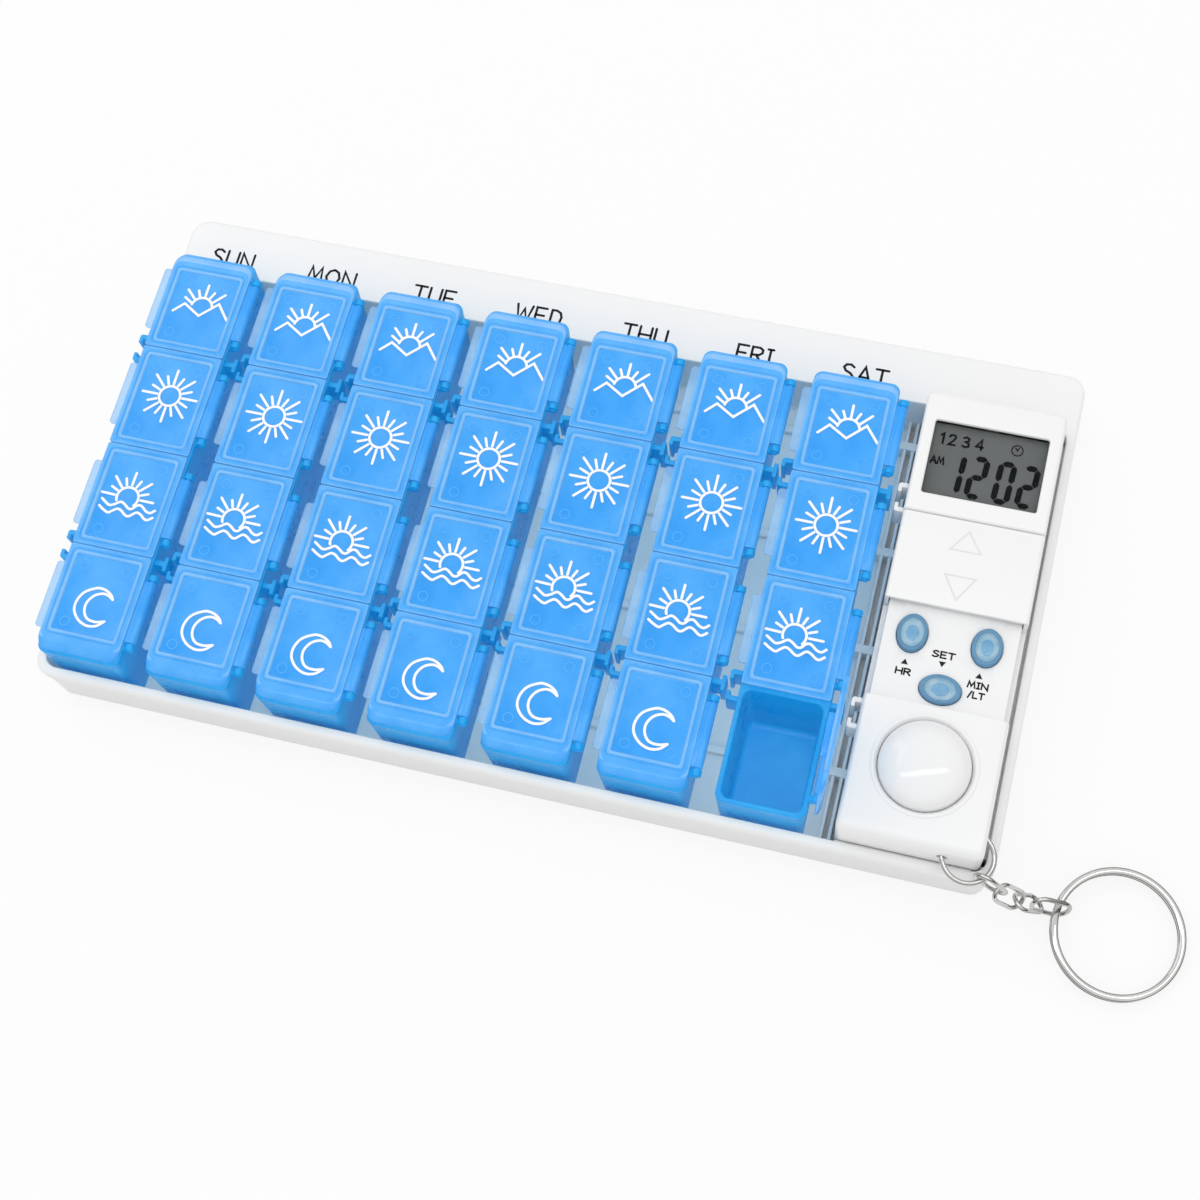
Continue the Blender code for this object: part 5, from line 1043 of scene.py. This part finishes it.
def ring_tube(bm, points, radius, sides, matrix, closed=True, section=None):
    """A wire along points that lie about flat in XY, then set in place."""
    section = section or [around(radius, TURN * side / sides) for side in range(sides)]
    count = len(points)
    loops = []
    for index, point in enumerate(points):
        before = points[index - 1] if index or closed else point
        after = points[(index + 1) % count] if index < count - 1 or closed else point
        along = (after - before).normalized()
        out = along.cross(UP).normalized()
        up = out.cross(along)
        loops.append([matrix @ (point + out * a + up * b) for a, b in section])
    if closed:
        rings = loft(bm, loops, False, False)
        first, last = rings[0], rings[-1]
        for index in range(len(first)):
            after = (index + 1) % len(first)
            bm.faces.new((last[index], last[after], first[after], first[index]))
    else:
        loft(bm, loops)


LINK_PITCHES = [7.0 * share for share in (0.97, 1.0, 0.96, 1.06)]
LINK_WIDTHS = [2.2 * share for share in (1.0, 1.0, 1.0, 1.14)]
LINK_ANGLES = ((-12, 47, 90), (2, 47, 35), (20, 45, -20), (6, 28, -110))
LINK_WIRE, LOOP_WIRE, LINK_GAP = 0.55, 0.6, 0.6
RING_RADIUS, RING_HEADING = 14.2, radians(-10)


def link_way(index):
    """Which way one link runs."""
    heading, dip, _ = (radians(angle) for angle in LINK_ANGLES[index])
    return Vector((cos(dip) * cos(heading), cos(dip) * sin(heading), -sin(dip)))


def stadium(length, half, steps):
    """A long oval about the X axis as middle line points."""
    points = []
    for side, middle in ((1, length - half), (-1, half)):
        for step in range(steps):
            angle = -QUARTER + pi * step / (steps - 1)
            points.append(Vector((middle + side * half * cos(angle), side * half * sin(angle), 0.0)))
    return points


def add_chain():
    bm = bmesh.new()
    ring_tube(bm, loop_points(72), LOOP_WIRE, 14, loop_matrix())
    piece("loop_wire", finished(bm, "loop", STEEL), "wire_loop", ["wire_loop"])
    pivot = loop_matrix() @ Vector((*around(LOOP_RADIUS, LOOP_EXIT), 0))
    wire_before = LOOP_WIRE
    for index, (pitch, half) in enumerate(zip(LINK_PITCHES, LINK_WIDTHS)):
        back = wire_before + LINK_GAP + LINK_WIRE
        along = link_way(index)
        level = UP.cross(along).normalized()
        across = Matrix.Rotation(radians(LINK_ANGLES[index][2]), 3, along) @ level
        matrix = Matrix((along, across, along.cross(across))).transposed().to_4x4()
        matrix.translation = pivot
        points = [point - Vector((back, 0, 0)) for point in stadium(pitch + back, half, 14)]
        bm = bmesh.new()
        ring_tube(bm, points, LINK_WIRE, 12, matrix)
        node = f"chain_link_{index + 1}"
        piece(node + "_wire", finished(bm, node, STEEL), node, [node])
        pivot = pivot + along * pitch
        wire_before = LINK_WIRE
    add_key_ring(pivot)


def add_key_ring(last_end):
    """The flat split ring: two layers of band that step past each other at one place."""
    per_turn, turns, layer, gap = 72, 1.97, 0.9, 0.4
    rise = layer + gap
    steps = int(per_turn * turns)
    points = []
    for step in range(steps + 1):
        turn = step / per_turn
        angle = TURN * turn + pi + 0.12
        climb = min(max((turn - turns / 2) * 15 + 0.5, 0.0), 1.0)
        climb = climb * climb * (3 - 2 * climb)
        points.append(Vector((*around(RING_RADIUS, angle), rise * (climb - 0.5))))
    sides = [around(1.0, TURN * (side + 0.5) / 14) for side in range(14)]
    section = [
        (0.85 * copysign(abs(a) ** 0.7, a), 0.45 * copysign(abs(b) ** 0.8, b)) for a, b in sides
    ]
    level = Vector((*around(1.0, RING_HEADING), 0))
    inside = last_end - link_way(len(LINK_PITCHES) - 1) * 2.8
    tilt = asin((inside.z - rise) / (2 * RING_RADIUS))
    centre = inside + level * RING_RADIUS * cos(tilt)
    centre.z = (inside.z + rise) / 2
    turn = Matrix.Rotation(RING_HEADING, 4, "Z") @ Matrix.Rotation(tilt, 4, "Y")
    bm = bmesh.new()
    ring_tube(bm, points, 0.0, 14, Matrix.Translation(centre) @ turn, False, section)
    band = finished(bm, "key_ring", STEEL)
    piece("key_ring_band", band, "split_key_ring", ["split_key_ring"])


def add_clock():
    piece("clock_top_shell", upper_case_mesh(), "clock", ["clock_upper_case"])
    piece("cover_plate", cover_mesh(), "button_cover", ["button_cover"])
    for name in BUTTONS:
        piece(name + "_cap", button_mesh(name), name, [name])
    piece("dome_cap", dome_mesh(), "dome_button", ["dome_button"])
    piece("display_figures", digits_mesh(), "clock", [])
    piece("battery_door_plate", door_mesh(), "battery_door", ["battery_door"])


def finish_nodes():
    """Gives every CAD node its procedural finish by the record's slots."""
    slots = {row["node"]: row["material_slot"] for row in frame["record"]["subparts"]}
    for name, item in frame["nodes"].items():
        for holder in item.material_slots:
            holder.material = SLOT_FINISHES[slots[name]]


# Floor, light and camera
FULL_WHITE = (1.0, 1.0, 1.0, 1.0)


def add_floor():
    """A plain pale floor that shows white behind the object and keeps its shadow."""
    material, tree, _ = start_material("pale_floor")
    matt = add(tree, "BsdfDiffuse", Color=(0.86, 0.86, 0.86, 1.0))
    glow = add(tree, "Emission", Color=FULL_WHITE, Strength=1.0)
    path = add(tree, "LightPath").outputs
    seen = reckoned(tree, "MAXIMUM", path["Is Camera Ray"], path["Is Glossy Ray"])
    seen = reckoned(tree, "MAXIMUM", seen, path["Is Transmission Ray"])
    shown = mixed(tree, reckoned(tree, "MULTIPLY", seen, 0.8), matt, glow)
    add(tree, "OutputMaterial", Surface=shown.outputs[0])
    bm = bmesh.new()
    bmesh.ops.create_grid(bm, x_segments=1, y_segments=1, size=6.0)
    mesh = bpy.data.meshes.new("floor")
    bm.to_mesh(mesh)
    bm.free()
    mesh.materials.append(material)
    floor = bpy.data.objects.new("floor", mesh)
    SCENE.collection.objects.link(floor)
    floor.location.z = -0.0001


def add_world():
    """An even sky that grows brighter upwards, a banded one for glossy rays, and white for the camera."""
    world = bpy.data.worlds.new("studio")
    SCENE.world = world
    world.use_nodes = True
    tree = world.node_tree
    tree.nodes.clear()
    ray = add(tree, "TexCoord").outputs["Generated"]
    height = add(tree, "SeparateXYZ", Vector=ray).outputs["Z"]
    band = add(tree, "MapRange", i0=height, i1=0.15, i2=0.8, i3=0.05, i4=1.1).outputs[0]
    rise = add(tree, "MapRange", i0=height, i1=0.0, i2=1.0, i3=0.80, i4=1.0).outputs[0]
    soft, mirror, white = (
        add(tree, "Background", Color=FULL_WHITE, Strength=strength) for strength in (rise, band, 1.0)
    )
    path = add(tree, "LightPath").outputs
    lit = mixed(tree, path["Is Glossy Ray"], soft, mirror)
    seen = reckoned(tree, "MAXIMUM", path["Is Camera Ray"], path["Is Transmission Ray"])
    add(tree, "OutputWorld", Surface=mixed(tree, seen, lit, white).outputs[0])


def add_lamp(name, place, target, size, power, spin=0.0):
    """A soft rectangular lamp that points at a place on the object, turned about its own axis."""
    data = bpy.data.lights.new(name, "AREA")
    data.shape = "RECTANGLE"
    data.size, data.size_y = size
    data.energy = power
    lamp = bpy.data.objects.new(name, data)
    SCENE.collection.objects.link(lamp)
    lamp.location = place
    aim = (Vector(target) - Vector(place)).to_track_quat("-Z", "Y").to_matrix()
    lamp.rotation_euler = (aim @ Matrix.Rotation(radians(spin), 3, "Z")).to_euler()


def add_camera():
    data = bpy.data.cameras.new("camera")
    data.lens, data.sensor_width, data.sensor_fit = 60.006, 36.0, "HORIZONTAL"
    data.clip_start, data.clip_end = 0.01, 50.0
    camera = bpy.data.objects.new("camera", data)
    SCENE.collection.objects.link(camera)
    right = Vector((0.96587918, 0.2447693, -0.08464868))
    upward = Vector((-0.19979621, 0.912161, 0.35783207))
    onward = Vector((-0.16479953, 0.32871006, -0.92994129))
    matrix = Matrix((right, upward, -onward)).transposed().to_4x4()
    matrix.translation = Vector((0.090909, -0.170865, 0.452748))
    camera.matrix_world = matrix
    SCENE.camera = camera


piece("tray_body", tray_mesh(), "tray", ["tray"])
add_strips()
add_clock()
add_chain()
finish_nodes()
add_floor()
add_world()
add_lamp("side_panel", (-0.9, 0.5, 1.1), (0, 0, 0), (0.9, 0.9), 2.2)
add_lamp("long_strip", (0.107, 0.01, 1.2), (0.107, 0, 0), (1.3, 0.12), 1.5, spin=20)
add_camera()
SCENE.view_settings.view_transform = "Standard"
